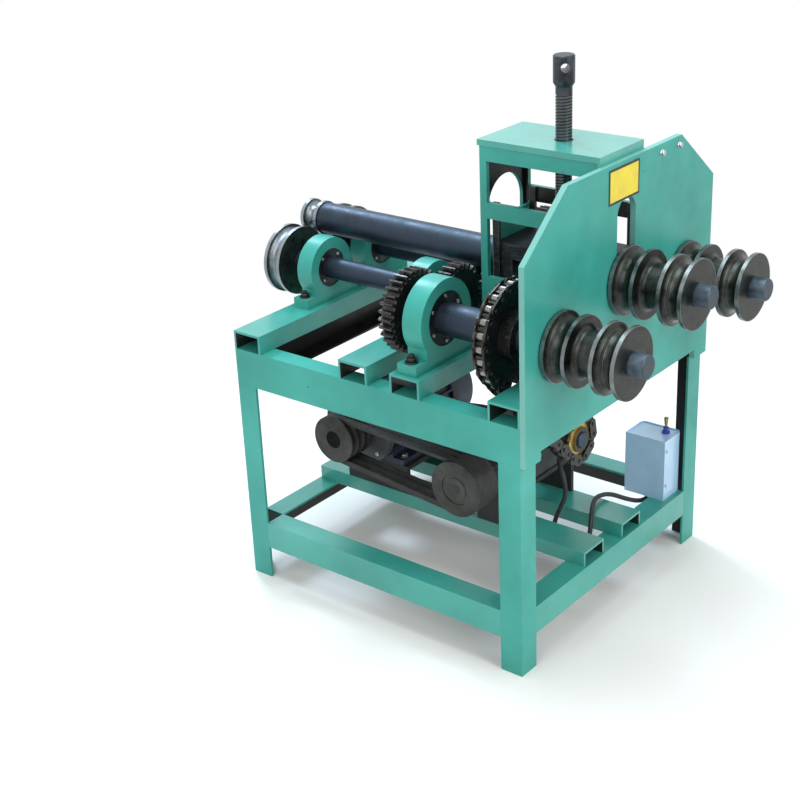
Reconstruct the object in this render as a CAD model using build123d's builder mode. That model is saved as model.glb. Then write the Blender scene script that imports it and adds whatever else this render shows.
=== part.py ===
from build123d import *
import math
import os

# Pipe bending machine with three rolls at its front plate and three small rolls at its back.
# Millimetres. +X points to the front plate, +Y to the right-hand side, +Z up from the floor.
# The origin lies on the floor, halfway between the ends of the longest shaft.
os.makedirs("parts", exist_ok=True)

# Welded frame
frame_length = 720.0
frame_width = 684.0
table_height = 537.0
back_overhang = 80.0
front_overhang = 200.0
leg_width = 50.0
leg_wall = 5.0
rail_height = 80.0
front_rail_height = 60.0
rail_flange = 43.0
rail_wall = 5.0
stretcher_height = 60.0
stretcher_flange = 50.0
stretcher_wall = 5.0
stretcher_bottom = 75.0
cross_width = 72.0
cross_height = 40.0
cross_wall = 5.0
bearer_width = 75.0
bearer_height = 32.0
bearer_wall = 5.0
bearer_spacing = 146.0
bearer_end_gap = 5.0

# Front plate
plate_thickness = 12.0
plate_top = 962.0
plate_shoulder = 850.0
plate_top_width = 408.0
slot_side_gap = 3.5
slot_below_shaft = 44.0
slot_above_shaft = 166.0
plate_hole_diameter = 10.0
plate_hole_drop = 19.0
plate_hole_offset = 162.0
plate_hole_spacing = 68.0

# Tower with the pressing screw
tower_length = 273.0
tower_width = 153.0
tower_wall = 10.0
tower_back_wall = 8.0
tower_post = 16.0
tower_back_post = 8.0
tower_top_height = 980.0
tower_top_wall = 12.0
tower_top_overhang = 4.0
tower_top_side_overhang = 2.0
tower_lip_depth = 20.0
tower_lip_wall = 6.0
tower_top_bar = 30.0
upper_window_height = 83.0
middle_bar_height = 32.0
lower_window_height = 90.0
lower_bar_height = 36.0
arch_width = 120.0
arch_head = 73.0
arch_below_shaft = 60.0
guide_width = 14.0
guide_depth = 6.45
screw_setback = 129.0
screw_diameter = 32.5
screw_rise = 162.0
screw_head_diameter = 42.0
screw_head_height = 52.0
screw_head_taper = 8.0
screw_bar_hole = 17.0
screw_bar_hole_depth = 22.0
screw_bar_hole_turn = 40.0
screw_collar_diameter = 52.0
screw_collar_height = 14.0
nut_diameter = 72.0
nut_height = 40.0
thrust_cap_diameter = 88.0
thrust_cap_height = 10.0

# Slider in the tower
slider_front_gap = 8.0
slider_back_gap = 9.0
slider_top_above_shaft = 48.0
slider_bottom_below_shaft = 60.0
slider_deck = 30.0
slider_end_wall = 40.0
slider_bush_diameter = 80.0
slider_cover_wall = 6.0
slider_cover_rise = 48.0

# Shaft positions: front shafts above the deck, the others from the front shafts
front_shaft_rise = 90.0
upper_shaft_rise = 57.0
back_shaft_drop = 17.0
back_shaft_spacing = 176.0
output_shaft_drop = 308.0

# Front and upper shafts, with their rolls
roll_diameter = 138.0
roll_bore = 50.0
roll_gap = 3.0
roll_flange = 8.0
roll_groove_width = 36.0
roll_groove_radius = 18.5
roll_groove_depth = 16.0
roll_neck_length = 50.0
roll_neck_depth = 25.0
roll_neck_corner = 12.0
shaft_end_diameter = 45.0
front_shaft_diameter = 66.0
front_shaft_gear_seat = 56.0
upper_tube_diameter = 68.0
upper_journal_diameter = 60.0

# Back shafts with their rolls
back_shaft_diameter = 46.0
back_shaft_seat = 40.0
back_roll_diameter = 150.0
back_roll_width = 44.0
back_roll_groove_radius = 14.0
back_roll_gap = 3.0
back_end_length = 6.0

# Pillow blocks and bearings
front_block_ring = 160.0
front_block_waist = 131.0
front_block_width = 46.0
front_block_foot = 200.0
front_bearing_diameter = 110.0
back_block_ring = 132.0
back_block_waist = 108.0
back_block_width = 40.0
back_block_gap = 10.0
back_bearing_diameter = 84.0
block_foot_height = 22.0
bearing_inset = 3.0
bush_diameter = 88.0
bush_flange_diameter = 116.0
bush_flange_wall = 14.0
bearing_member_setback = 268.0
member_spacing = 130.0

# Gear train between the shafts
gear_module = 5.0
gear_root_factor = 1.25
pressure_angle = 20.0
idler_phase = 90.0
front_gear_teeth = 32
back_gear_teeth = 26
idler_teeth = 16
gear_width = 30.0
gear_block_gap = 11.0
gear_flank_gap = 0.2
gear_hub_length = 14.0
gear_hub_wall = 14.0
idler_pin_diameter = 30.0
idler_plate_wall = 12.0
idler_plate_width = 70.0

# Chain drive
chain_pitch = 25.4
chain_roller = 15.88
chain_inner_width = 15.8
chain_plate_wall = 3.0
chain_plate_height = 22.0
chain_plate_corners = 8
chain_links = 48
chain_run_halvings = 60
large_sprocket_teeth = 24
small_sprocket_teeth = 11
sprocket_width = 14.5
chain_member_gap = 7.1
sprocket_tooth_height = 6.5
tooth_space_reach = 1.0
tooth_space_flare = 6.35
tooth_space_angle = 75.0
large_hub_diameter = 104.0
large_hub_length = 24.0
small_hub_diameter = 54.0
small_hub_length = 24.0
small_boss_length = 5.0
chain_seat_gap = 0.7

# Worm gearbox
gearbox_setback = 222.0
worm_distance = 50.0
worm_diameter = 28.0
worm_length = 70.0
worm_gap = 0.5
worm_shaft_diameter = 25.0
output_shaft_diameter = 35.0
output_shaft_tip = 4.0
wheel_diameter = 88.0
wheel_width = 26.0
wheel_hub_diameter = 56.0
wheel_hub_length = 56.0
housing_width = 90.0
housing_ring_diameter = 140.0
housing_cavity_diameter = 116.0
housing_length = 176.0
housing_tunnel_diameter = 72.0
housing_tunnel_bore = 48.0
housing_pedestal_length = 110.0
housing_foot_length = 190.0
housing_foot_height = 16.0
worm_drop_to_foot = 54.0
cover_wall = 10.0
cover_diameter = 128.0
worm_cap_diameter = 68.0

# Motor
motor_setback = 544.0
motor_height = 334.0
motor_foot_drop = 100.0
motor_left_end = -150.0
motor_barrel_length = 210.0
motor_barrel_diameter = 160.0
motor_bore = 136.0
fin_count = 24
fin_height = 8.0
fin_width = 3.0
motor_foot_width = 150.0
motor_foot_length = 130.0
motor_foot_wall = 12.0
motor_foot_rib = 90.0
shield_wall = 18.0
shield_boss_diameter = 70.0
shield_boss_height = 4.0
stator_length = 130.0
rotor_diameter = 83.0
rotor_gap = 0.5
motor_shaft_diameter = 28.0
fan_cover_length = 54.0
fan_cover_wall = 2.0
fan_slot_count = 12
fan_slot_length = 36.0
fan_slot_width = 8.0
fan_slot_circle = 92.0
fan_diameter = 130.0
fan_width = 20.0
fan_hub_diameter = 44.0
fan_inset = 10.0
fan_blades = 8
fan_blade_wall = 4.0
terminal_length = 90.0
terminal_depth = 46.0
terminal_height = 70.0
terminal_wall = 3.0
terminal_pad = 4.0

# Belt drive
pulley_gap = 15.0
pulley_width = 63.0
motor_pulley_diameter = 104.0
worm_pulley_diameter = 120.0
belt_count = 3
belt_spacing = 19.0
belt_width = 15.0
belt_depth = 10.0
belt_side_angle = 18.0
groove_depth = 14.0
worm_pulley_recess = 2.0
pulley_rim = 26.0
pulley_hub_wall = 12.0

# Stands under the drive
stand_wall = 10.0
stand_inset = 0.5
gearbox_stand_length = 100.0
motor_stand_length = 170.0

# Control box
box_width = 98.0
box_depth = 73.0
box_height = 143.0
box_wall = 2.0
box_lip = 3.0
box_corner = 12.0
box_side_inset = 43.0
box_front_setback = 14.0
box_cover_wall = 3.0
switch_front_inset = 26.0
switch_right_inset = 24.0
switch_body_length = 30.0
switch_body_width = 22.0
switch_body_height = 26.0
switch_ring_diameter = 18.0
switch_ring_height = 4.0
switch_bush_diameter = 12.0
switch_bush_height = 14.0
switch_lever_diameter = 6.0
switch_lever_tip = 10.0
switch_lever_length = 24.0
switch_ball_diameter = 8.8
switch_pivot_depth = 5.0

# Motor lead, with an elbow under the control box and a gland at the motor
lead_diameter = 10.0
gland_diameter = 20.0
gland_length = 16.0
elbow_width = 22.0
elbow_length = 30.0
elbow_height = 24.0
elbow_setback = 64.0
elbow_right_inset = 49.0
lead_start = 26.0
lead_finish = 18.0
lead_sway = 10.0
lead_arc_share = 0.45

# Clearances
running_gap = 0.05
seat_gap = 0.05
thread_gap = 0.1
belt_gap = 0.35
free_gap = 2.0
edge_chamfer = 2.0
mitre_gap = 0.2

# Values worked out from the sizes above
overall_length = back_overhang + frame_length + front_overhang
frame_back = back_overhang - overall_length / 2
frame_front = frame_back + frame_length
side = frame_width / 2
deck_height = table_height + cross_height
rail_bottom = table_height - rail_height
front_rail_bottom = table_height - front_rail_height
stretcher_top = stretcher_bottom + stretcher_height
bearer_top = stretcher_top + bearer_height
front_shaft_height = deck_height + front_shaft_rise
upper_shaft_height = front_shaft_height + upper_shaft_rise
back_shaft_height = front_shaft_height - back_shaft_drop
output_height = front_shaft_height - output_shaft_drop
plate_face = frame_front + plate_thickness
shaft_tip = frame_front + front_overhang
back_tip = frame_back - back_overhang
tower_back = frame_front - tower_length
screw_x = frame_front - screw_setback
bearing_member_x = frame_front - bearing_member_setback
middle_member_x = bearing_member_x - member_spacing
gear_front = bearing_member_x - front_block_width / 2 - gear_block_gap - gear_hub_length
gear_x = gear_front - gear_width / 2
gear_back = gear_front - gear_width
chain_half_width = chain_inner_width / 2 + 2 * chain_plate_wall
sprocket_x = frame_front - cross_width - chain_member_gap - chain_half_width
gearbox_x = frame_front - gearbox_setback
motor_x = frame_front - motor_setback
worm_height = output_height - worm_distance
pulley_face = motor_left_end - shield_wall - shield_boss_height - pulley_gap - pulley_width

# Shafts side by side: the gears' pitch circles set the front shafts out from the back shafts
front_back_distance = gear_module * (front_gear_teeth + back_gear_teeth) / 2
idler_distance = gear_module * (back_gear_teeth + idler_teeth) / 2
back_y = back_shaft_spacing / 2
front_y = back_y + math.sqrt(front_back_distance**2 - back_shaft_drop**2)
idler_height = back_shaft_height - math.sqrt(idler_distance**2 - back_y**2)


def save(piece, name):
    """Label a finished piece and write it to its own file."""
    piece.part.label = name
    export_step(piece.part, f"parts/{name}.step")


def shaft_plane(y, z):
    """Plane through an axis along X: first direction along the axis, second upwards."""
    return Plane(origin=(0, y, z), x_dir=(1, 0, 0), z_dir=(0, -1, 0))


def drive_plane(x, z):
    """Plane through an axis along Y: first direction along the axis, second upwards."""
    return Plane(origin=(x, 0, z), x_dir=(0, 1, 0), z_dir=(1, 0, 0))


def facing_right(x, y, z):
    """Plane square to Y that faces right: first direction to the back, second upwards."""
    return Plane(origin=(x, y, z), x_dir=(-1, 0, 0), z_dir=(0, 1, 0))


def band(start, end, inner, outer):
    """Rectangle of a turned profile between two stations and two radii."""
    with Locations(((start + end) / 2, (inner + outer) / 2)):
        Rectangle(end - start, outer - inner)


def turned_shaft(y, z, steps):
    """Solid shaft along X from steps of start, end and diameter."""
    with BuildPart() as shaft:
        with BuildSketch(shaft_plane(y, z)):
            for start, end, diameter in steps:
                band(start, end, 0, diameter / 2)
        revolve(axis=Axis((0, y, z), (1, 0, 0)))
        tips = shaft.edges().filter_by(GeomType.CIRCLE).group_by(Axis.X)
        chamfer(tips[0] + tips[-1], length=edge_chamfer)
    return shaft


# Legs: four angles with their corners outwards
leg_places = [
    (frame_back, -side, 0),
    (frame_front, -side, 90),
    (frame_front, side, 180),
    (frame_back, side, 270),
]
with BuildPart() as legs:
    for x, y, turn in leg_places:
        with BuildSketch(Plane(origin=(x, y, 0)).rotated((0, 0, turn))):
            Rectangle(leg_width, leg_width, align=(Align.MIN, Align.MIN))
            with Locations((leg_wall, leg_wall)):
                Rectangle(leg_width, leg_width, align=(Align.MIN, Align.MIN), mode=Mode.SUBTRACT)
        extrude(amount=rail_bottom)
save(legs, "legs")

# Top rails: channels with the web outwards, mitred at the corners, the front one lower
rail_runs = [
    (0, frame_length, frame_width, rail_height),
    (90, frame_width, frame_length, front_rail_height),
    (180, frame_length, frame_width, rail_height),
    (270, frame_width, frame_length, rail_height),
]
rail_parts = []
frame_middle = (frame_back + frame_front) / 2
for turn, length, depth, height in rail_runs:
    base = Plane(origin=(frame_middle, 0, 0)).rotated((0, 0, turn))
    corner = base.from_local_coords((-length / 2, -depth / 2, 0))
    far_corner = base.from_local_coords((length / 2, -depth / 2, 0))
    with BuildPart() as rail:
        with BuildSketch(Plane(origin=corner, x_dir=base.y_dir, z_dir=base.x_dir)):
            with Locations((0, table_height)):
                Rectangle(rail_flange, height, align=(Align.MIN, Align.MAX))
            with Locations((rail_wall, table_height - rail_wall)):
                Rectangle(
                    rail_flange,
                    height - 2 * rail_wall,
                    align=(Align.MIN, Align.MAX),
                    mode=Mode.SUBTRACT,
                )
        extrude(amount=length)
        near_mitre = Plane(origin=corner, z_dir=base.x_dir - base.y_dir)
        far_mitre = Plane(origin=far_corner, z_dir=-base.x_dir - base.y_dir)
        split(bisect_by=near_mitre.offset(mitre_gap / 2), keep=Keep.TOP)
        split(bisect_by=far_mitre.offset(mitre_gap / 2), keep=Keep.TOP)
    rail_parts.append(rail.part)
with BuildPart() as top_rails:
    for rail_part in rail_parts:
        add(rail_part)
save(top_rails, "top_rails")

# Stretchers: low angles between the legs, flange on top and inwards
stretcher_runs = [
    (0, frame_length - 2 * leg_width, frame_width),
    (90, frame_width - 2 * leg_width, frame_length),
]
with BuildPart() as stretchers:
    for turn, length, depth in stretcher_runs:
        for half_turn in (0, 180):
            base = Plane(origin=(frame_middle, 0, 0)).rotated((0, 0, turn + half_turn))
            corner = base.from_local_coords((-length / 2, -depth / 2, 0))
            with BuildSketch(Plane(origin=corner, x_dir=base.y_dir, z_dir=base.x_dir)):
                with Locations((0, stretcher_bottom)):
                    Rectangle(stretcher_wall, stretcher_height, align=(Align.MIN, Align.MIN))
                with Locations((0, stretcher_top)):
                    Rectangle(stretcher_flange, stretcher_wall, align=(Align.MIN, Align.MAX))
            extrude(amount=length)
save(stretchers, "stretchers")


def channel_section(center, bottom, width, height, wall):
    """Channel profile with its web on top and its open side down."""
    with Locations((center, bottom)):
        Rectangle(width, height, align=(Align.CENTER, Align.MIN))
        Rectangle(
            width - 2 * wall,
            height - wall,
            align=(Align.CENTER, Align.MIN),
            mode=Mode.SUBTRACT,
        )


# Cross members: channels that lie on the top rails and carry the bearings and the tower
cross_centers = [
    frame_back + cross_width / 2,
    middle_member_x,
    bearing_member_x,
    frame_front - cross_width / 2,
]
with BuildPart() as cross_members:
    for center in cross_centers:
        with BuildSketch(Plane.XZ.offset(side)):
            channel_section(center, table_height, cross_width, cross_height, cross_wall)
        extrude(amount=-frame_width)
save(cross_members, "cross_members")

# Bearers: two low channels that carry the motor and the gearbox
bearer_length = frame_length - 2 * bearer_end_gap
with BuildPart() as bearers:
    for center in (-bearer_spacing / 2, bearer_spacing / 2):
        with BuildSketch(Plane.YZ.offset(frame_back + bearer_end_gap)):
            channel_section(center, stretcher_top, bearer_width, bearer_height, bearer_wall)
        extrude(amount=bearer_length)
save(bearers, "bearers")

# Front plate with an ear on each leg, a slot for the upper shaft, two bores for the front shafts
# and two small holes near its top
slot_length = slot_below_shaft + slot_above_shaft
slot_middle = upper_shaft_height + (slot_above_shaft - slot_below_shaft) / 2
slot_width = upper_journal_diameter + 2 * slot_side_gap
ear = side - leg_width
with BuildPart() as front_plate:
    with BuildSketch(Plane.YZ.offset(frame_front)):
        with BuildLine():
            Polyline(
                (-side, rail_bottom),
                (-ear, rail_bottom),
                (-ear, front_rail_bottom),
                (ear, front_rail_bottom),
                (ear, rail_bottom),
                (side, rail_bottom),
                (side, plate_shoulder),
                (plate_top_width / 2, plate_top),
                (-plate_top_width / 2, plate_top),
                (-side, plate_shoulder),
                close=True,
            )
        make_face()
        with Locations((0, slot_middle)):
            SlotOverall(slot_length, slot_width, rotation=90, mode=Mode.SUBTRACT)
        with Locations((-front_y, front_shaft_height), (front_y, front_shaft_height)):
            Circle(bush_diameter / 2 + seat_gap, mode=Mode.SUBTRACT)
        with Locations((plate_hole_offset, plate_top - plate_hole_drop)):
            with GridLocations(plate_hole_spacing, 0, 2, 1):
                Circle(plate_hole_diameter / 2, mode=Mode.SUBTRACT)
    extrude(amount=plate_thickness)
save(front_plate, "front_plate")

# Tower: two side frames with windows, a back plate with an arch and a top plate with a lip
tower_half = tower_width / 2
tower_top_under = tower_top_height - tower_top_wall
side_back = tower_back + tower_back_wall
side_length = frame_front - side_back
window_back = side_back + tower_back_post
window_length = frame_front - tower_post - window_back
lower_bar_bottom = deck_height + lower_window_height
upper_window_top = tower_top_under - tower_top_bar
middle_bar_top = upper_window_top - upper_window_height
window_spans = [
    (deck_height, lower_bar_bottom),
    (lower_bar_bottom + lower_bar_height, middle_bar_top - middle_bar_height),
    (middle_bar_top, upper_window_top),
]
with BuildPart() as tower_sides:
    for outer_face in (tower_half, tower_wall - tower_half):
        with BuildSketch(Plane.XZ.offset(outer_face)):
            with Locations((side_back, deck_height)):
                Rectangle(side_length, tower_top_under - deck_height, align=(Align.MIN, Align.MIN))
            for low, high in window_spans:
                with Locations((window_back, low)):
                    Rectangle(
                        window_length,
                        high - low,
                        align=(Align.MIN, Align.MIN),
                        mode=Mode.SUBTRACT,
                    )
            with Locations((frame_front, tower_top_under)):
                Rectangle(
                    tower_lip_wall,
                    tower_lip_depth,
                    align=(Align.MAX, Align.MAX),
                    mode=Mode.SUBTRACT,
                )
        extrude(amount=-tower_wall)
save(tower_sides, "tower_sides")

arch_bottom = upper_shaft_height - arch_below_shaft
arch_middle = tower_top_under - arch_head - arch_width / 2
with BuildPart() as tower_back_plate:
    with BuildSketch(Plane.YZ.offset(tower_back)):
        with Locations((0, deck_height)):
            Rectangle(tower_width, tower_top_under - deck_height, align=(Align.CENTER, Align.MIN))
        with Locations((0, arch_middle)):
            Circle(arch_width / 2, mode=Mode.SUBTRACT)
            Rectangle(
                arch_width,
                arch_middle - arch_bottom,
                align=(Align.CENTER, Align.MAX),
                mode=Mode.SUBTRACT,
            )
    extrude(amount=tower_back_wall)
save(tower_back_plate, "tower_back_plate")

top_plate_length = tower_length + tower_top_overhang
top_plate_width = tower_width + 2 * tower_top_side_overhang
with BuildPart() as tower_top_plate:
    with BuildSketch(Plane.XY.offset(tower_top_under)):
        with Locations((frame_front, 0)):
            Rectangle(top_plate_length, top_plate_width, align=(Align.MAX, Align.CENTER))
        with Locations((screw_x, 0)):
            Circle(screw_diameter / 2 + free_gap, mode=Mode.SUBTRACT)
    extrude(amount=tower_top_wall)
    with BuildSketch(Plane.XY.offset(tower_top_under)):
        with Locations((frame_front, 0)):
            Rectangle(tower_lip_wall, top_plate_width, align=(Align.MAX, Align.CENTER))
    extrude(amount=-tower_lip_depth)
save(tower_top_plate, "tower_top_plate")

# Guides: four upright strips on the tower's side frames, beside the ends of the slider
slider_front = frame_front - slider_front_gap
slider_back = side_back + slider_back_gap + slider_cover_wall
guide_middle = tower_half - tower_wall - guide_depth / 2
guide_places = [
    (slider_back + guide_width / 2, -guide_middle),
    (slider_back + guide_width / 2, guide_middle),
    (slider_front - guide_width / 2, -guide_middle),
    (slider_front - guide_width / 2, guide_middle),
]
with BuildPart() as slide_guides:
    with BuildSketch(Plane.XY.offset(deck_height)):
        with Locations(*guide_places):
            Rectangle(guide_width, guide_depth)
    extrude(amount=middle_bar_top - deck_height)
save(slide_guides, "slide_guides")

# Screw nut under the top plate
with BuildPart() as screw_nut:
    with BuildSketch(Plane.XY.offset(tower_top_under)):
        with Locations((screw_x, 0)):
            RegularPolygon(nut_diameter / 2, 6)
            Circle(screw_diameter / 2 + thread_gap, mode=Mode.SUBTRACT)
    extrude(amount=-nut_height)
save(screw_nut, "screw_nut")

# Slider: a bridge with a bush at each end, hung on the pressing screw
slider_width = tower_width - 2 * (tower_wall + guide_depth + running_gap)
slider_length = slider_front - slider_back
slider_top = upper_shaft_height + slider_top_above_shaft
slider_bottom = upper_shaft_height - slider_bottom_below_shaft
bush_spans = [
    (slider_back, slider_back + slider_end_wall),
    (slider_front - slider_end_wall, slider_front),
]
collar_seat = slider_top - screw_collar_height
with BuildPart() as slider_block:
    with BuildSketch(Plane.YZ.offset(slider_back)):
        with Locations((0, slider_bottom)):
            Rectangle(slider_width, slider_top - slider_bottom, align=(Align.CENTER, Align.MIN))
        with Locations((0, upper_shaft_height)):
            Circle(slider_bush_diameter / 2 + seat_gap, mode=Mode.SUBTRACT)
    extrude(amount=slider_length)
    with BuildSketch(Plane.YZ.offset(slider_back + slider_end_wall)):
        with Locations((0, slider_bottom)):
            Rectangle(
                slider_width,
                slider_top - slider_bottom - slider_deck,
                align=(Align.CENTER, Align.MIN),
            )
    extrude(amount=slider_length - 2 * slider_end_wall, mode=Mode.SUBTRACT)
    with BuildSketch(Plane.XY.offset(slider_top)):
        with Locations((screw_x, 0)):
            Circle(screw_collar_diameter / 2 + running_gap)
    extrude(amount=-screw_collar_height, mode=Mode.SUBTRACT)
save(slider_block, "slider_block")

with BuildPart() as slider_bushes:
    for start, end in bush_spans:
        with BuildSketch(Plane.YZ.offset(start)):
            with Locations((0, upper_shaft_height)):
                Circle(slider_bush_diameter / 2)
                Circle(upper_journal_diameter / 2 + running_gap, mode=Mode.SUBTRACT)
        extrude(amount=end - start)
save(slider_bushes, "slider_bushes")

cover_top = slider_top + slider_cover_rise
with BuildPart() as slider_cover:
    with BuildSketch(Plane.YZ.offset(slider_back)):
        with Locations((0, slider_bottom)):
            Rectangle(slider_width, cover_top - slider_bottom, align=(Align.CENTER, Align.MIN))
        with Locations((0, upper_shaft_height)):
            Circle(upper_tube_diameter / 2 + free_gap, mode=Mode.SUBTRACT)
    extrude(amount=-slider_cover_wall)
save(slider_cover, "slider_cover")

with BuildPart() as thrust_cap:
    with BuildSketch(Plane.XY.offset(slider_top)):
        with Locations((screw_x, 0)):
            Circle(thrust_cap_diameter / 2)
            Circle(screw_diameter / 2 + free_gap / 2, mode=Mode.SUBTRACT)
    extrude(amount=thrust_cap_height)
    chamfer(thrust_cap.edges().group_by(Axis.Z)[-1], length=edge_chamfer / 2)
save(thrust_cap, "thrust_cap")

# Pressing screw: collar in the slider, threaded stem and a head with a hole for a turning bar
screw_top = tower_top_height + screw_rise
screw_head_bottom = screw_top - screw_head_height
hole_axis = Plane(origin=(screw_x, 0, screw_top - screw_bar_hole_depth)).rotated(
    (0, 0, screw_bar_hole_turn)
)
with BuildPart() as pressing_screw:
    with BuildSketch(Plane(origin=(screw_x, 0, 0), x_dir=(1, 0, 0), z_dir=(0, -1, 0))):
        with BuildLine():
            Polyline(
                (0, collar_seat + running_gap),
                (screw_collar_diameter / 2, collar_seat + running_gap),
                (screw_collar_diameter / 2, slider_top - running_gap),
                (screw_diameter / 2, slider_top - running_gap),
                (screw_diameter / 2, screw_head_bottom - screw_head_taper),
                (screw_head_diameter / 2, screw_head_bottom),
                (screw_head_diameter / 2, screw_top - edge_chamfer),
                (screw_head_diameter / 2 - edge_chamfer, screw_top),
                (0, screw_top),
                close=True,
            )
        make_face()
    revolve(axis=Axis((screw_x, 0, 0), (0, 0, 1)))
    with BuildSketch(Plane(origin=hole_axis.origin, x_dir=hole_axis.x_dir, z_dir=-hole_axis.y_dir)):
        Circle(screw_bar_hole / 2)
    extrude(amount=screw_head_diameter / 2, both=True, mode=Mode.SUBTRACT)
save(pressing_screw, "pressing_screw")

# Rolls: a pair of half-round grooves with a neck between them
roll_start = plate_face + roll_gap
die_length = 2 * roll_flange + roll_groove_width
roll_length = 2 * die_length + roll_neck_length
roll_end = roll_start + roll_length
groove_rise = roll_diameter / 2 - roll_groove_depth + roll_groove_radius


def front_roll(y, z):
    """Double-grooved roll for the front end of a shaft."""
    with BuildPart() as roll:
        with BuildSketch(shaft_plane(y, z)):
            band(roll_start, roll_end, roll_bore / 2 + seat_gap, roll_diameter / 2)
            for middle in (roll_start + die_length / 2, roll_end - die_length / 2):
                with Locations((middle, groove_rise)):
                    Circle(roll_groove_radius, mode=Mode.SUBTRACT)
            with Locations(((roll_start + roll_end) / 2, roll_diameter / 2)):
                RectangleRounded(
                    roll_neck_length,
                    2 * roll_neck_depth,
                    roll_neck_corner,
                    mode=Mode.SUBTRACT,
                )
        revolve(axis=Axis((0, y, z), (1, 0, 0)))
    return roll


back_roll_end = back_tip + back_end_length + back_roll_width


def back_roll(y, z, diameter):
    """Single-grooved roll for the back end of a shaft."""
    start = back_tip + back_end_length
    with BuildPart() as roll:
        with BuildSketch(shaft_plane(y, z)):
            band(start, back_roll_end, back_shaft_seat / 2 + seat_gap, diameter / 2)
            with Locations((start + back_roll_width / 2, diameter / 2)):
                Circle(back_roll_groove_radius, mode=Mode.SUBTRACT)
        revolve(axis=Axis((0, y, z), (1, 0, 0)))
    return roll


# Upper shaft: a thick tube behind the tower, journals in the slider and a roll at each end
upper_steps = [
    (back_tip, back_roll_end, back_shaft_seat),
    (back_roll_end, slider_back - running_gap, upper_tube_diameter),
    (slider_back - running_gap, roll_start, upper_journal_diameter),
    (roll_start, roll_end, roll_bore),
    (roll_end, shaft_tip, shaft_end_diameter),
]
back_roll_distance = math.hypot(back_y, upper_shaft_rise + back_shaft_drop)
upper_back_roll_diameter = 2 * (back_roll_distance - back_roll_gap) - back_roll_diameter
save(turned_shaft(0, upper_shaft_height, upper_steps), "upper_shaft")
save(front_roll(0, upper_shaft_height), "upper_roll")
save(back_roll(0, upper_shaft_height, upper_back_roll_diameter), "upper_back_roll")


# Gear train: front gear, back gear, idler and their mirror images
def meshed_phase(phase, teeth, other_teeth, direction):
    """Angle of a tooth of the other gear, where direction points from this gear to it."""
    offset = phase - direction
    return direction + 180 - offset * teeth / other_teeth + 180 / other_teeth


to_back_gear = math.degrees(math.atan2(back_shaft_height - idler_height, -back_y))
to_front_gear = math.degrees(math.atan2(back_shaft_drop, back_y - front_y))
back_phase = meshed_phase(idler_phase, idler_teeth, back_gear_teeth, to_back_gear)
front_phase = meshed_phase(back_phase, back_gear_teeth, front_gear_teeth, to_front_gear)


def involute(angle):
    """Involute function of an angle in radians."""
    return math.tan(angle) - angle


def half_tooth(radius, teeth):
    """Half of a tooth's angle at a radius, in radians, with its flanks set back."""
    pitch_radius = gear_module * teeth / 2
    base_radius = pitch_radius * math.cos(math.radians(pressure_angle))
    flank = math.acos(min(base_radius / radius, 1.0))
    half = math.pi / (2 * teeth) - gear_flank_gap / pitch_radius
    return half + involute(math.radians(pressure_angle)) - involute(flank)


def gear_points(teeth, phase):
    """Corners of a spur gear's outline: each flank goes through root, pitch and tip."""
    pitch_radius = gear_module * teeth / 2
    base_radius = pitch_radius * math.cos(math.radians(pressure_angle))
    root_radius = pitch_radius - gear_root_factor * gear_module
    tip_radius = pitch_radius + gear_module
    flank = [
        (root_radius, half_tooth(max(root_radius, base_radius), teeth)),
        (pitch_radius, half_tooth(pitch_radius, teeth)),
        (tip_radius, half_tooth(tip_radius, teeth)),
    ]
    rising = [(radius, -angle) for radius, angle in flank]
    falling = [(radius, angle) for radius, angle in reversed(flank)]
    points = []
    for tooth in range(teeth):
        middle = math.radians(phase + tooth * 360 / teeth)
        for radius, angle in rising + falling:
            points.append((radius * math.cos(middle + angle), radius * math.sin(middle + angle)))
    return points


def spur_gear(y, z, teeth, phase, bore, hub_sign):
    """Spur gear along X with a hub on one side, or none where the sign is 0."""
    with BuildPart() as gear:
        with BuildSketch(Plane.YZ.offset(gear_back)):
            with BuildLine():
                Polyline(*[(y + u, z + v) for u, v in gear_points(teeth, phase)], close=True)
            make_face()
        extrude(amount=gear_width)
        if hub_sign:
            face = gear_x + hub_sign * gear_width / 2
            with BuildSketch(Plane.YZ.offset(face)):
                with Locations((y, z)):
                    Circle(bore / 2 + gear_hub_wall)
            extrude(amount=hub_sign * gear_hub_length)
        with BuildSketch(Plane.YZ.offset(gear_x)):
            with Locations((y, z)):
                Circle(bore / 2 + seat_gap)
        extrude(amount=gear_width, both=True, mode=Mode.SUBTRACT)
    return gear


hands = {-1: "left", 1: "right"}
for sign, hand in hands.items():
    mirrored = 0 if sign < 0 else 180
    turn = 1 if sign < 0 else -1
    front_gear = spur_gear(
        sign * front_y,
        front_shaft_height,
        front_gear_teeth,
        mirrored + turn * front_phase,
        front_shaft_gear_seat,
        1,
    )
    save(front_gear, f"{hand}_gear")
    back_gear = spur_gear(
        sign * back_y,
        back_shaft_height,
        back_gear_teeth,
        mirrored + turn * back_phase,
        back_shaft_seat,
        -1,
    )
    save(back_gear, f"back_{hand}_gear")
idler_gear = spur_gear(0, idler_height, idler_teeth, idler_phase, idler_pin_diameter, 0)
save(idler_gear, "idler_gear")

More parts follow.
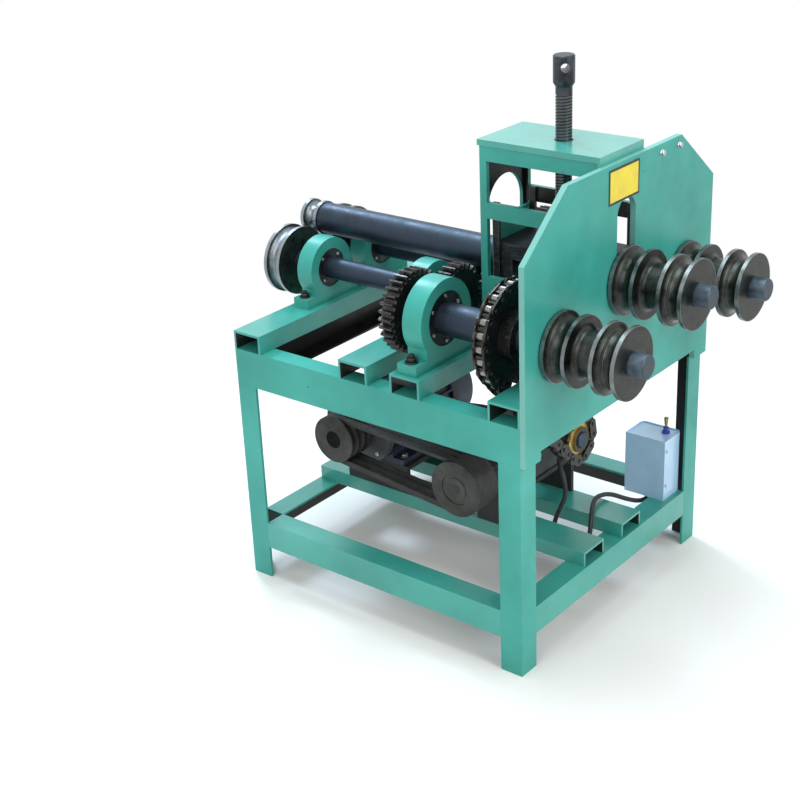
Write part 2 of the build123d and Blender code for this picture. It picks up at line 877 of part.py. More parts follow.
# Idler pin on an upright plate that stands against the middle cross member
member_face = middle_member_x + cross_width / 2
with BuildPart() as idler_bracket:
    with BuildSketch(Plane.YZ.offset(member_face - idler_plate_wall)):
        with Locations((0, deck_height)):
            Rectangle(idler_plate_width, idler_height - deck_height, align=(Align.CENTER, Align.MIN))
        with Locations((0, idler_height)):
            Circle(idler_plate_width / 2)
        with Locations((0, deck_height)):
            Rectangle(
                idler_plate_width,
                idler_plate_width,
                align=(Align.CENTER, Align.MAX),
                mode=Mode.SUBTRACT,
            )
    extrude(amount=idler_plate_wall)
    with BuildSketch(Plane.YZ.offset(member_face)):
        with Locations((0, idler_height)):
            Circle(idler_pin_diameter / 2)
    extrude(amount=gear_front - member_face)
    with BuildSketch(Plane.YZ.offset(member_face)):
        with Locations((0, idler_height)):
            Circle(idler_pin_diameter / 2 + edge_chamfer)
    extrude(amount=gear_back - member_face - running_gap)
save(idler_bracket, "idler_bracket")

# Front and back shafts with their rolls
gear_seat_end = gear_front + gear_hub_length
front_steps = [
    (gear_back, gear_seat_end, front_shaft_gear_seat),
    (gear_seat_end, roll_start, front_shaft_diameter),
    (roll_start, roll_end, roll_bore),
    (roll_end, shaft_tip, shaft_end_diameter),
]
back_steps = [
    (back_tip, back_roll_end, back_shaft_seat),
    (back_roll_end, gear_back - gear_hub_length, back_shaft_diameter),
    (gear_back - gear_hub_length, gear_front, back_shaft_seat),
]
for sign, hand in hands.items():
    save(turned_shaft(sign * front_y, front_shaft_height, front_steps), f"{hand}_shaft")
    save(front_roll(sign * front_y, front_shaft_height), f"{hand}_roll")
    save(turned_shaft(sign * back_y, back_shaft_height, back_steps), f"back_{hand}_shaft")
    save(back_roll(sign * back_y, back_shaft_height, back_roll_diameter), f"back_{hand}_roll")


def block_outline(y, z, ring, waist, foot, bore):
    """Cast block that stands on the deck: a ring on a waist and a foot."""
    with Locations((y, z)):
        Circle(ring / 2)
        Rectangle(waist, z - deck_height, align=(Align.CENTER, Align.MAX))
    with Locations((y, deck_height)):
        Rectangle(foot, block_foot_height, align=(Align.CENTER, Align.MIN))
        Rectangle(foot, ring, align=(Align.CENTER, Align.MAX), mode=Mode.SUBTRACT)
    with Locations((y, z)):
        Circle(bore / 2 + seat_gap, mode=Mode.SUBTRACT)


def bearing_outline(y, z, diameter, bore):
    """Bearing ring that fills a pillow block and runs on a shaft."""
    with Locations((y, z)):
        Circle(diameter / 2)
        Circle(bore / 2 + running_gap, mode=Mode.SUBTRACT)


back_block_foot = back_shaft_spacing - back_block_gap
back_block_members = [frame_back + cross_width / 2, middle_member_x]
with BuildPart() as pillow_blocks:
    with BuildSketch(Plane.YZ.offset(bearing_member_x - front_block_width / 2)):
        for sign in hands:
            block_outline(
                sign * front_y,
                front_shaft_height,
                front_block_ring,
                front_block_waist,
                front_block_foot,
                front_bearing_diameter,
            )
    extrude(amount=front_block_width)
    for x in back_block_members:
        with BuildSketch(Plane.YZ.offset(x - back_block_width / 2)):
            for sign in hands:
                block_outline(
                    sign * back_y,
                    back_shaft_height,
                    back_block_ring,
                    back_block_waist,
                    back_block_foot,
                    back_bearing_diameter,
                )
        extrude(amount=back_block_width)
save(pillow_blocks, "pillow_blocks")

# Bearings: rings in the pillow blocks, a little narrower than the blocks
front_bearing_width = front_block_width - 2 * bearing_inset
back_bearing_width = back_block_width - 2 * bearing_inset
with BuildPart() as bearings:
    with BuildSketch(Plane.YZ.offset(bearing_member_x - front_bearing_width / 2)):
        for sign in hands:
            bearing_outline(
                sign * front_y,
                front_shaft_height,
                front_bearing_diameter,
                front_shaft_diameter,
            )
    extrude(amount=front_bearing_width)
    for x in back_block_members:
        with BuildSketch(Plane.YZ.offset(x - back_bearing_width / 2)):
            for sign in hands:
                bearing_outline(
                    sign * back_y,
                    back_shaft_height,
                    back_bearing_diameter,
                    back_shaft_diameter,
                )
        extrude(amount=back_bearing_width)
save(bearings, "shaft_bearings")

# Flanged bushes that carry the front shafts in the plate
with BuildPart() as plate_bushes:
    for sign in hands:
        bush_plane = shaft_plane(sign * front_y, front_shaft_height)
        bore_radius = front_shaft_diameter / 2 + running_gap
        with BuildSketch(bush_plane):
            band(frame_front - bush_flange_wall, frame_front, bore_radius, bush_flange_diameter / 2)
            band(frame_front - bush_flange_wall, plate_face, bore_radius, bush_diameter / 2)
        revolve(axis=Axis(bush_plane.origin, (1, 0, 0)))
save(plate_bushes, "plate_bushes")


# Chain drive: tangent points of a loop round two wheels, and the points of the chain on it
def loop_angles(first, second, first_radius, second_radius):
    """Direction from the first wheel to the second, and the tangent normals' angle from it."""
    run = math.hypot(second[0] - first[0], second[1] - first[1])
    heading = math.degrees(math.atan2(second[1] - first[1], second[0] - first[0]))
    spread = math.degrees(math.acos((first_radius - second_radius) / run))
    return heading, spread


def on_wheel(center, radius, angle):
    """Point on a wheel at an angle in degrees."""
    return (
        center[0] + radius * math.cos(math.radians(angle)),
        center[1] + radius * math.sin(math.radians(angle)),
    )


def sprocket_radius(teeth):
    """Pitch radius of a sprocket."""
    return chain_pitch / (2 * math.sin(math.pi / teeth))


large_radius = sprocket_radius(large_sprocket_teeth)
small_radius = sprocket_radius(small_sprocket_teeth)


def links_for(run):
    """Number of links in a loop whose wheels stand this far apart."""
    spread = math.acos((large_radius - small_radius) / run)
    straight = math.sqrt(run**2 - (large_radius - small_radius) ** 2) / chain_pitch
    wrapped = large_sprocket_teeth * (1 - spread / math.pi) + small_sprocket_teeth * spread / math.pi
    return 2 * straight + wrapped


shortest_run = large_radius + small_radius
longest_run = chain_links * chain_pitch / 2
for halving in range(chain_run_halvings):
    middle_run = (shortest_run + longest_run) / 2
    if links_for(middle_run) < chain_links:
        shortest_run = middle_run
    else:
        longest_run = middle_run
chain_run = (shortest_run + longest_run) / 2
output_y = math.sqrt(chain_run**2 - output_shaft_drop**2) - front_y
large_center = (-front_y, front_shaft_height)
small_center = (output_y, output_height)
chain_heading, chain_spread = loop_angles(large_center, small_center, large_radius, small_radius)
large_wrap = large_sprocket_teeth * (360 - 2 * chain_spread) / 360
small_wrap = small_sprocket_teeth * 2 * chain_spread / 360
straight_links = (chain_links - large_wrap - small_wrap) / 2


def chain_point(link):
    """Centre of a chain roller, counted in links along the loop."""
    upper, lower = chain_heading + chain_spread, chain_heading - chain_spread
    if link <= large_wrap:
        return on_wheel(large_center, large_radius, upper + link * 360 / large_sprocket_teeth)
    link -= large_wrap
    if link <= straight_links:
        start = on_wheel(large_center, large_radius, lower)
        end = on_wheel(small_center, small_radius, lower)
    elif link <= straight_links + small_wrap:
        link -= straight_links
        return on_wheel(small_center, small_radius, lower + link * 360 / small_sprocket_teeth)
    else:
        link -= straight_links + small_wrap
        start = on_wheel(small_center, small_radius, upper)
        end = on_wheel(large_center, large_radius, upper)
    share = link / straight_links
    return tuple(a + share * (b - a) for a, b in zip(start, end))


rollers = [chain_point(link) for link in range(chain_links)]
link_ends = list(zip(rollers, rollers[1:] + rollers[:1]))
plate_end = chain_plate_height / 2
plate_corner = plate_end * math.tan(math.pi / chain_plate_corners)


def plate_outlines(ends):
    """Chain plates of one layer: each has eight corners and reaches past both of its rollers."""
    half = chain_pitch / 2 + plate_end
    waist = half - plate_end + plate_corner
    for (y0, z0), (y1, z1) in ends:
        tilt = math.degrees(math.atan2(z1 - z0, y1 - y0))
        with Locations(Location(((y0 + y1) / 2, (z0 + z1) / 2), tilt)):
            Polygon(
                (half, plate_corner),
                (waist, plate_end),
                (-waist, plate_end),
                (-half, plate_corner),
                (-half, -plate_corner),
                (-waist, -plate_end),
                (waist, -plate_end),
                (half, -plate_corner),
                align=None,
            )


inner_face = chain_inner_width / 2
outer_face = inner_face + chain_plate_wall
with BuildPart() as drive_chain:
    with BuildSketch(Plane.YZ.offset(sprocket_x - inner_face)):
        with Locations(*rollers):
            Circle(chain_roller / 2)
    extrude(amount=chain_inner_width)
    for outward in (-1, 1):
        with BuildSketch(Plane.YZ.offset(sprocket_x + outward * inner_face)):
            plate_outlines(link_ends[1::2])
        extrude(amount=outward * chain_plate_wall)
        with BuildSketch(Plane.YZ.offset(sprocket_x + outward * outer_face)):
            plate_outlines(link_ends[0::2])
        extrude(amount=outward * chain_plate_wall)
save(drive_chain, "drive_chain")


def sprocket(center, teeth, phase, bore, hub_diameter, back_hub, front_hub):
    """Sprocket with a seat for each roller, turned so that a seat stands at the phase angle."""
    seat = chain_roller / 2 + chain_seat_gap
    pitch_radius = sprocket_radius(teeth)
    hub_start = sprocket_x - sprocket_width / 2 - back_hub
    hub_length = back_hub + sprocket_width + front_hub
    with BuildPart() as wheel:
        with BuildSketch(Plane.YZ.offset(sprocket_x - sprocket_width / 2)):
            with Locations(center):
                Circle(pitch_radius + sprocket_tooth_height)
            for tooth in range(teeth):
                angle = phase + tooth * 360 / teeth
                with Locations(Location(on_wheel(center, pitch_radius, angle), angle)):
                    Circle(seat, mode=Mode.SUBTRACT)
                    Trapezoid(
                        2 * seat + tooth_space_flare,
                        sprocket_tooth_height + tooth_space_reach,
                        tooth_space_angle,
                        rotation=90,
                        align=(Align.CENTER, Align.MAX),
                        mode=Mode.SUBTRACT,
                    )
        extrude(amount=sprocket_width)
        with BuildSketch(Plane.YZ.offset(hub_start)):
            with Locations(center):
                Circle(hub_diameter / 2)
        extrude(amount=hub_length)
        with BuildSketch(Plane.YZ.offset(hub_start)):
            with Locations(center):
                Circle(bore / 2 + seat_gap)
        extrude(amount=hub_length, mode=Mode.SUBTRACT)
    return wheel


large_phase = chain_heading + chain_spread
small_offset = (large_wrap + straight_links) * 360 / small_sprocket_teeth
small_phase = chain_heading - chain_spread - small_offset
large_sprocket = sprocket(
    large_center,
    large_sprocket_teeth,
    large_phase,
    front_shaft_diameter,
    large_hub_diameter,
    0,
    large_hub_length,
)
save(large_sprocket, "large_sprocket")
small_sprocket = sprocket(
    small_center,
    small_sprocket_teeth,
    small_phase,
    output_shaft_diameter,
    small_hub_diameter,
    small_hub_length,
    small_boss_length,
)
save(small_sprocket, "small_sprocket")

# Gearbox: a round body on a worm tunnel, a pedestal and a foot
housing_back = gearbox_x - housing_width / 2
housing_front = gearbox_x + housing_width / 2
tunnel_left = output_y - housing_length / 2
tunnel_right = output_y + housing_length / 2
foot_bottom = worm_height - worm_drop_to_foot
with BuildPart() as gearbox_housing:
    with BuildSketch(Plane.YZ.offset(housing_back)):
        with Locations((output_y, output_height)):
            Circle(housing_ring_diameter / 2)
        with Locations((output_y, foot_bottom)):
            Rectangle(housing_pedestal_length, worm_drop_to_foot, align=(Align.CENTER, Align.MIN))
            Rectangle(housing_foot_length, housing_foot_height, align=(Align.CENTER, Align.MIN))
    extrude(amount=housing_width)
    with BuildSketch(facing_right(gearbox_x, tunnel_left, worm_height)):
        Circle(housing_tunnel_diameter / 2)
    extrude(amount=housing_length)
    with BuildSketch(facing_right(gearbox_x, tunnel_left, worm_height)):
        Circle(housing_tunnel_bore / 2)
    extrude(amount=housing_length, mode=Mode.SUBTRACT)
    with BuildSketch(Plane.YZ.offset(housing_back)):
        with Locations((output_y, output_height)):
            Circle(housing_cavity_diameter / 2)
    extrude(amount=housing_width, mode=Mode.SUBTRACT)
save(gearbox_housing, "gearbox_housing")

with BuildPart() as gearbox_covers:
    for start in (housing_back - cover_wall, housing_front):
        with BuildSketch(Plane.YZ.offset(start)):
            with Locations((output_y, output_height)):
                Circle(cover_diameter / 2)
                Circle(output_shaft_diameter / 2 + running_gap, mode=Mode.SUBTRACT)
        extrude(amount=cover_wall)
    for start in (tunnel_left - cover_wall, tunnel_right):
        with BuildSketch(facing_right(gearbox_x, start, worm_height)):
            Circle(worm_cap_diameter / 2)
            Circle(worm_shaft_diameter / 2 + running_gap, mode=Mode.SUBTRACT)
        extrude(amount=cover_wall)
save(gearbox_covers, "gearbox_covers")

output_end = sprocket_x + sprocket_width / 2 + small_boss_length + output_shaft_tip
output_steps = [(housing_back - cover_wall, output_end, output_shaft_diameter)]
save(turned_shaft(output_y, output_height, output_steps), "output_shaft")

with BuildPart() as worm_wheel:
    with BuildSketch(shaft_plane(output_y, output_height)):
        bore_radius = output_shaft_diameter / 2 + seat_gap
        band(gearbox_x - wheel_width / 2, gearbox_x + wheel_width / 2, bore_radius, wheel_diameter / 2)
        band(
            gearbox_x - wheel_hub_length / 2,
            gearbox_x + wheel_hub_length / 2,
            bore_radius,
            wheel_hub_diameter / 2,
        )
        with Locations((gearbox_x, worm_distance)):
            Circle(worm_diameter / 2 + worm_gap, mode=Mode.SUBTRACT)
    revolve(axis=Axis((0, output_y, output_height), (1, 0, 0)))
save(worm_wheel, "worm_wheel")

with BuildPart() as worm_shaft:
    with BuildSketch(drive_plane(gearbox_x, worm_height)):
        band(pulley_face, tunnel_right + cover_wall, 0, worm_shaft_diameter / 2)
        band(output_y - worm_length / 2, output_y + worm_length / 2, 0, worm_diameter / 2)
    revolve(axis=Axis((gearbox_x, 0, worm_height), (0, 1, 0)))
save(worm_shaft, "worm_shaft")

# Pulleys with V grooves, and the belts in them
belt_starts = [
    pulley_face + pulley_width / 2 + (index - (belt_count - 1) / 2) * belt_spacing
    for index in range(belt_count)
]
side_slope = math.tan(math.radians(belt_side_angle))
groove_side = belt_gap / math.cos(math.radians(belt_side_angle))


def pulley(x, z, diameter, bore, recess=0.0):
    """Pulley along Y with a V groove for each belt, and a recess in its outer face where one is given."""
    rim = diameter / 2
    with BuildPart() as wheel:
        with BuildSketch(drive_plane(x, z)):
            band(pulley_face, pulley_face + pulley_width, bore / 2 + seat_gap, rim)
            for middle in belt_starts:
                top = belt_width / 2 + groove_side
                floor = top - groove_depth * side_slope
                with Locations((middle, rim)):
                    Polygon(
                        (-top, 0),
                        (-floor, -groove_depth),
                        (floor, -groove_depth),
                        (top, 0),
                        align=None,
                        mode=Mode.SUBTRACT,
                    )
            if recess:
                with Locations((pulley_face, (bore / 2 + pulley_hub_wall + rim - pulley_rim) / 2)):
                    Rectangle(
                        2 * recess,
                        rim - pulley_rim - bore / 2 - pulley_hub_wall,
                        mode=Mode.SUBTRACT,
                    )
        revolve(axis=Axis((x, 0, z), (0, 1, 0)))
    return wheel


save(pulley(motor_x, motor_height, motor_pulley_diameter, motor_shaft_diameter), "motor_pulley")
worm_pulley = pulley(
    gearbox_x,
    worm_height,
    worm_pulley_diameter,
    worm_shaft_diameter,
    worm_pulley_recess,
)
save(worm_pulley, "worm_pulley")

motor_center = (-motor_x, motor_height)
worm_center = (-gearbox_x, worm_height)
motor_belt_radius = motor_pulley_diameter / 2
worm_belt_radius = worm_pulley_diameter / 2
belt_heading, belt_spread = loop_angles(
    worm_center, motor_center, worm_belt_radius, motor_belt_radius
)
belt_upper = belt_heading + belt_spread
belt_lower = belt_heading - belt_spread
with BuildPart() as drive_belts:
    for middle in belt_starts:
        with BuildLine(facing_right(0, middle, 0)) as belt_loop:
            CenterArc(worm_center, worm_belt_radius, belt_upper, 360 - 2 * belt_spread)
            Line(
                on_wheel(worm_center, worm_belt_radius, belt_lower),
                on_wheel(motor_center, motor_belt_radius, belt_lower),
            )
            CenterArc(motor_center, motor_belt_radius, belt_lower, 2 * belt_spread)
            Line(
                on_wheel(motor_center, motor_belt_radius, belt_upper),
                on_wheel(worm_center, worm_belt_radius, belt_upper),
            )
        path = belt_loop.wires()[0]
        with BuildSketch(Plane(origin=path @ 0, x_dir=(0, 1, 0), z_dir=path % 0)):
            inward = belt_width / 2 - belt_depth * side_slope
            Polygon(
                (-belt_width / 2, 0),
                (belt_width / 2, 0),
                (inward, -belt_depth),
                (-inward, -belt_depth),
                align=None,
            )
        sweep(path=path)
save(drive_belts, "drive_belts")

# Motor: finned barrel on feet, with a pad for the terminal box
motor_right_end = motor_left_end + motor_barrel_length
motor_middle = (motor_left_end + motor_right_end) / 2
foot_level = motor_height - motor_foot_drop
fin_reach = motor_barrel_diameter / 2 + fin_height
terminal_face = motor_x + fin_reach + terminal_pad
motor_axis = Axis((motor_x, 0, motor_height), (0, 1, 0))
with BuildPart() as motor_frame:
    with BuildSketch(facing_right(motor_x, motor_left_end, motor_height)):
        Circle(motor_barrel_diameter / 2)
        with PolarLocations(motor_barrel_diameter / 2 + fin_height / 2, fin_count):
            Rectangle(fin_height + fin_width, fin_width)
    extrude(amount=motor_barrel_length)
    with BuildSketch(Plane.XY.offset(foot_level)):
        with Locations((motor_x, motor_middle)):
            Rectangle(motor_foot_width, motor_foot_length)
    extrude(amount=motor_foot_wall)
    with BuildSketch(Plane.XY.offset(foot_level)):
        with Locations((motor_x, motor_middle)):
            Rectangle(motor_foot_rib, motor_foot_length)
    extrude(amount=motor_foot_drop)
    with BuildSketch(Plane.YZ.offset(terminal_face)):
        with Locations((motor_middle, motor_height)):
            Rectangle(terminal_length, terminal_height)
    extrude(amount=-fin_reach)
    with BuildSketch(facing_right(motor_x, motor_left_end, motor_height)):
        Circle(motor_bore / 2 + seat_gap)
    extrude(amount=motor_barrel_length, mode=Mode.SUBTRACT)
save(motor_frame, "motor_frame")

with BuildPart() as stator:
    with BuildSketch(facing_right(motor_x, motor_middle - stator_length / 2, motor_height)):
        Circle(motor_bore / 2)
        Circle(rotor_diameter / 2 + rotor_gap, mode=Mode.SUBTRACT)
    extrude(amount=stator_length)
save(stator, "stator")

fan_end = motor_right_end + shield_wall + fan_cover_length
fan_start = motor_right_end + shield_wall + fan_inset
with BuildPart() as motor_shields:
    bore_radius = motor_shaft_diameter / 2 + running_gap
    with BuildSketch(drive_plane(motor_x, motor_height)):
        band(motor_left_end - shield_wall, motor_left_end, bore_radius, fin_reach)
        band(
            motor_left_end - shield_wall - shield_boss_height,
            motor_left_end,
            bore_radius,
            shield_boss_diameter / 2,
        )
        band(motor_right_end, motor_right_end + shield_wall, bore_radius, fin_reach)
    revolve(axis=motor_axis)
save(motor_shields, "motor_shields")

with BuildPart() as motor_rotor:
    with BuildSketch(drive_plane(motor_x, motor_height)):
        band(pulley_face, fan_start + fan_width, 0, motor_shaft_diameter / 2)
        band(
            motor_middle - stator_length / 2,
            motor_middle + stator_length / 2,
            0,
            rotor_diameter / 2,
        )
    revolve(axis=motor_axis)
save(motor_rotor, "motor_rotor")

with BuildPart() as motor_fan:
    with BuildSketch(facing_right(motor_x, fan_start, motor_height)):
        Circle(fan_hub_diameter / 2)
        with PolarLocations(fan_diameter / 4, fan_blades):
            Rectangle(fan_diameter / 2, fan_blade_wall)
        Circle(motor_shaft_diameter / 2 + seat_gap, mode=Mode.SUBTRACT)
    extrude(amount=fan_width)
save(motor_fan, "motor_fan")

# Motor covers: a slotted cup over the fan, and the terminal box
with BuildPart() as motor_covers:
    with BuildSketch(drive_plane(motor_x, motor_height)):
        band(motor_right_end + shield_wall, fan_end, fin_reach - fan_cover_wall, fin_reach)
        band(fan_end - fan_cover_wall, fan_end, 0, fin_reach)
    revolve(axis=motor_axis)
    with BuildSketch(facing_right(motor_x, fan_end, motor_height)):
        with PolarLocations(fan_slot_circle / 2, fan_slot_count):
            SlotOverall(fan_slot_length, fan_slot_width)
    extrude(amount=-fan_cover_wall, mode=Mode.SUBTRACT)
    with BuildSketch(Plane.YZ.offset(terminal_face)):
        with Locations((motor_middle, motor_height)):
            Rectangle(terminal_length, terminal_height)
    extrude(amount=terminal_depth)
    with BuildSketch(Plane.YZ.offset(terminal_face)):
        with Locations((motor_middle, motor_height)):
            Rectangle(terminal_length - 2 * terminal_wall, terminal_height - 2 * terminal_wall)
    extrude(amount=terminal_depth - terminal_wall, mode=Mode.SUBTRACT)
save(motor_covers, "motor_covers")

# Stands: saddles across the bearers under the motor and the gearbox
stand_width = bearer_spacing + bearer_width - 2 * stand_inset
stand_runs = [
    (motor_x, motor_stand_length, foot_level),
    (gearbox_x, gearbox_stand_length, foot_bottom),
]
with BuildPart() as drive_stands:
    for x, length, top in stand_runs:
        with BuildSketch(Plane.YZ.offset(x - length / 2)):
            channel_section(0, bearer_top, stand_width, top - bearer_top, stand_wall)
        extrude(amount=length)
save(drive_stands, "drive_stands")

# Control box: a folded shell with rounded corners on the right, a top panel set down between lips
# and a flat cover on the left
box_right = side - box_side_inset
box_left = box_right - box_depth
box_front = frame_front - box_front_setback
box_back = box_front - box_width
box_middle = (box_back + box_front) / 2
shell_left = box_left + box_cover_wall
shell_depth = box_right - shell_left
panel_top = stretcher_top + box_height - box_lip
panel_under = panel_top - box_wall
floor_top = stretcher_top + box_wall
switch_x = box_front - switch_front_inset
switch_y = box_right - switch_right_inset


def box_outline(inset):
    """Outline of the shell, set in from its outer faces."""
    width = box_width - 2 * inset
    with Locations((box_middle, shell_left + shell_depth / 2)):
        RectangleRounded(width, shell_depth - 2 * inset, box_corner - inset)
        Rectangle(width, shell_depth / 2 - inset, align=(Align.CENTER, Align.MAX))


with BuildPart() as control_box:
    with BuildSketch(Plane.XY.offset(stretcher_top)):
        box_outline(0)
    extrude(amount=box_height)
    with BuildSketch(Plane.XY.offset(floor_top)):
        box_outline(box_wall)
        with Locations((box_middle, shell_left)):
            Rectangle(box_width - 2 * box_wall, shell_depth / 2, align=(Align.CENTER, Align.MIN))
    extrude(amount=panel_under - floor_top, mode=Mode.SUBTRACT)
    with BuildSketch(Plane.XY.offset(panel_top)):
        box_outline(box_wall)
    extrude(amount=box_lip, mode=Mode.SUBTRACT)
    with BuildSketch(Plane.XY.offset(panel_under)):
        with Locations((switch_x, switch_y)):
            Circle(switch_bush_diameter / 2 + seat_gap)
    extrude(amount=box_wall, mode=Mode.SUBTRACT)
save(control_box, "control_box")

with BuildPart() as control_box_cover:
    with BuildSketch(Plane.XZ.offset(-box_left)):
        with Locations((box_back, stretcher_top)):
            Rectangle(box_width, box_height, align=(Align.MIN, Align.MIN))
    extrude(amount=-box_cover_wall)
save(control_box_cover, "control_box_cover")

# Toggle switch: body under the panel, a ring and a bush above it, and a lever with a ball pivot
bush_top = panel_top + switch_bush_height
pivot_height = bush_top - switch_pivot_depth
with BuildPart() as toggle_switch:
    with BuildSketch(Plane.XY.offset(panel_under)):
        with Locations((switch_x, switch_y)):
            Rectangle(switch_body_length, switch_body_width)
    extrude(amount=-switch_body_height)
    with BuildSketch(Plane.XY.offset(panel_under)):
        with Locations((switch_x, switch_y)):
            Circle(switch_bush_diameter / 2)
    extrude(amount=bush_top - panel_under)
    with BuildSketch(Plane.XY.offset(panel_top)):
        with Locations((switch_x, switch_y)):
            Circle(switch_ring_diameter / 2)
    extrude(amount=switch_ring_height)
    with BuildSketch(Plane.XY.offset(bush_top)):
        with Locations((switch_x, switch_y)):
            Circle(switch_ball_diameter / 2 + running_gap)
    extrude(amount=-switch_pivot_depth - switch_ball_diameter, mode=Mode.SUBTRACT)
save(toggle_switch, "toggle_switch")

with BuildPart() as switch_lever:
    with BuildSketch(Plane(origin=(switch_x, switch_y, 0), x_dir=(1, 0, 0), z_dir=(0, -1, 0))):
        with BuildLine():
            Polyline(
                (0, pivot_height),
                (switch_lever_diameter / 2, pivot_height),
                (switch_lever_diameter / 2, bush_top + switch_lever_diameter / 2),
                (switch_lever_tip / 2, bush_top + switch_lever_length - edge_chamfer),
                (switch_lever_tip / 2 - edge_chamfer, bush_top + switch_lever_length),
                (0, bush_top + switch_lever_length),
                close=True,
            )
        make_face()
    revolve(axis=Axis((switch_x, switch_y, 0), (0, 0, 1)))
    with Locations((switch_x, switch_y, pivot_height)):
        Sphere(switch_ball_diameter / 2)
save(switch_lever, "switch_lever")

# Glands: an elbow under the control box, and a straight gland on the terminal box
elbow_x = frame_front - elbow_setback
elbow_left = box_right - elbow_right_inset
lead_level = stretcher_top - elbow_height + gland_diameter / 2
terminal_middle = terminal_face + terminal_depth / 2
terminal_right = motor_middle + terminal_length / 2
with BuildPart() as cable_glands:
    with BuildSketch(Plane.XY.offset(stretcher_top)):
        with Locations((elbow_x, elbow_left)):
            Rectangle(elbow_width, elbow_length, align=(Align.CENTER, Align.MIN))
    extrude(amount=-elbow_height)
    fillet(cable_glands.edges().filter_by(Axis.Z), radius=edge_chamfer)
    with BuildSketch(facing_right(terminal_middle, terminal_right, motor_height)):
        Circle(gland_diameter / 2)
    extrude(amount=gland_length)
save(cable_glands, "cable_glands")

# Motor lead: from the elbow over the right bearer, in a loop between the bearers, up in front of
# the gearbox and round its right side to the motor; distances from the front face, from the
# middle plane and from the floor
gland_setback = frame_front - terminal_middle
gland_end = terminal_right + gland_length
lead_points = [
    (elbow_setback, elbow_left, lead_level),
    (elbow_setback, elbow_left - lead_start, lead_level),
    (70, 172, 146),
    (92, 128, 175),
    (102, 90, 180),
    (88, 54, 181),
    (70, 19, 173),
    (62, 2, 134),
    (73, -4, 104),
    (104, -4, 90),
    (138, -2, 102),
    (154, 2, 134),
    (142, 6, 172),
    (124, 6, 212),
    (128, 4, 254),
    (148, 12, 284),
    (160, 44, 295),
    (162, 88, 292),
    (180, 126, 290),
    (220, 144, 291),
    (268, 138, 295),
    (315, 127, 304),
    (357, 104, 314),
    (393, 78, 325),
    (gland_setback - lead_sway, 54, 332),
    (gland_setback, gland_end + lead_finish, motor_height),
    (gland_setback, gland_end, motor_height),
]
lead_route = [Vector(frame_front - back, y, z) for back, y, z in lead_points]
lead_radii = []
for before, point, after in zip(lead_route, lead_route[1:], lead_route[2:]):
    bend = (point - before).get_angle(after - point)
    shorter = min((point - before).length, (after - point).length)
    lead_radii.append(lead_arc_share * shorter / math.tan(math.radians(bend / 2)))
with BuildPart() as motor_lead:
    with BuildLine() as lead_line:
        FilletPolyline(*lead_route, radius=lead_radii)
    lead_path = lead_line.wires()[0]
    with BuildSketch(Plane(origin=lead_path @ 0, z_dir=lead_path % 0)):
        Circle(lead_diameter / 2)
    sweep(path=lead_path)
save(motor_lead, "motor_lead")
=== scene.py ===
import math

import bmesh
import bpy
from mathutils import Matrix, Vector


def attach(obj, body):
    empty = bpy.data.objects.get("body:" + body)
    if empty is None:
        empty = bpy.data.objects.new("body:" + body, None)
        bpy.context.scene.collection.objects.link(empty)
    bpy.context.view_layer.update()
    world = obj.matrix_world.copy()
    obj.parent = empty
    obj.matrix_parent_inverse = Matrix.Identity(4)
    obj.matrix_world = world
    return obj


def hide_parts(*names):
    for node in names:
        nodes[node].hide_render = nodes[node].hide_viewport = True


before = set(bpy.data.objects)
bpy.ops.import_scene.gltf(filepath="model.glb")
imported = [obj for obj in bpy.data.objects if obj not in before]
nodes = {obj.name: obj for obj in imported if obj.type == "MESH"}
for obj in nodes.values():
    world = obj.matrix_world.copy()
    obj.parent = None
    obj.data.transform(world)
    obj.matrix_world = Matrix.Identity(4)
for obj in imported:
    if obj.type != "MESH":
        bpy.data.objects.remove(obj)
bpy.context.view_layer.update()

# Camera of the photograph: place in metres, angles in degrees, focal length in pixels of 800
camera_place = Vector((1.7229, -2.3982, 1.7280))
camera_azimuth, camera_elevation, camera_roll = 39.62, 24.22, -2.57
focal_pixels, image_pixels = 1519.5, 800.0
sensor_width = 36.0

# Places shared with the model, in metres; an axis along X has Y and Z, one along Y has X and Z
frame_front, frame_back, side = 0.300, -0.420, 0.342
plate_face = 0.312
deck_height, table_height, bearer_top = 0.577, 0.537, 0.167
front_axis, back_axis, upper_axis = (0.232, 0.667), (0.088, 0.650), (0.0, 0.724)
output_axis = (-0.003096, 0.359)
motor_axis, worm_axis, motor_middle = (-0.244, 0.334), (0.078, 0.309), -0.045
front_member, bearing_member, middle_member, back_member = 0.264, 0.032, -0.098, -0.384
member_half, bearer_half = 0.036, 0.0375
bearer_axis, tower_back, tower_inner = 0.073, 0.027, 0.0667
sprocket_plane = 0.207
screw_axis, screw_radius, thread_top = (0.171, 0.0), 0.01625, 1.068
forward, backward, upward = (1, 0, 0), (-1, 0, 0), (0, 0, 1)


def mirrored(axis):
    """The same axis on the machine's left side."""
    return -axis[0], axis[1]


# Materials: parts of the noise range that most of them use
patch_range, middle_range = (0.35, 0.68), (0.30, 0.70)


def new_material(name):
    """Empty node material and its tree and shader."""
    material = bpy.data.materials.new(name)
    material.use_nodes = True
    tree = material.node_tree
    return material, tree, tree.nodes["Principled BSDF"]


def link(tree, source, target):
    """Join an output socket, or set a number, on an input socket."""
    if isinstance(source, bpy.types.NodeSocket):
        tree.links.new(source, target)
    else:
        target.default_value = source


def math_node(tree, operation, first, second=0.0):
    """Result of one Math node."""
    made = tree.nodes.new("ShaderNodeMath")
    made.operation = operation
    link(tree, first, made.inputs[0])
    link(tree, second, made.inputs[1])
    return made.outputs[0]


def product(tree, first, second):
    """Two values multiplied."""
    return math_node(tree, "MULTIPLY", first, second)


def larger(tree, first, second):
    """The larger of two values."""
    return math_node(tree, "MAXIMUM", first, second)


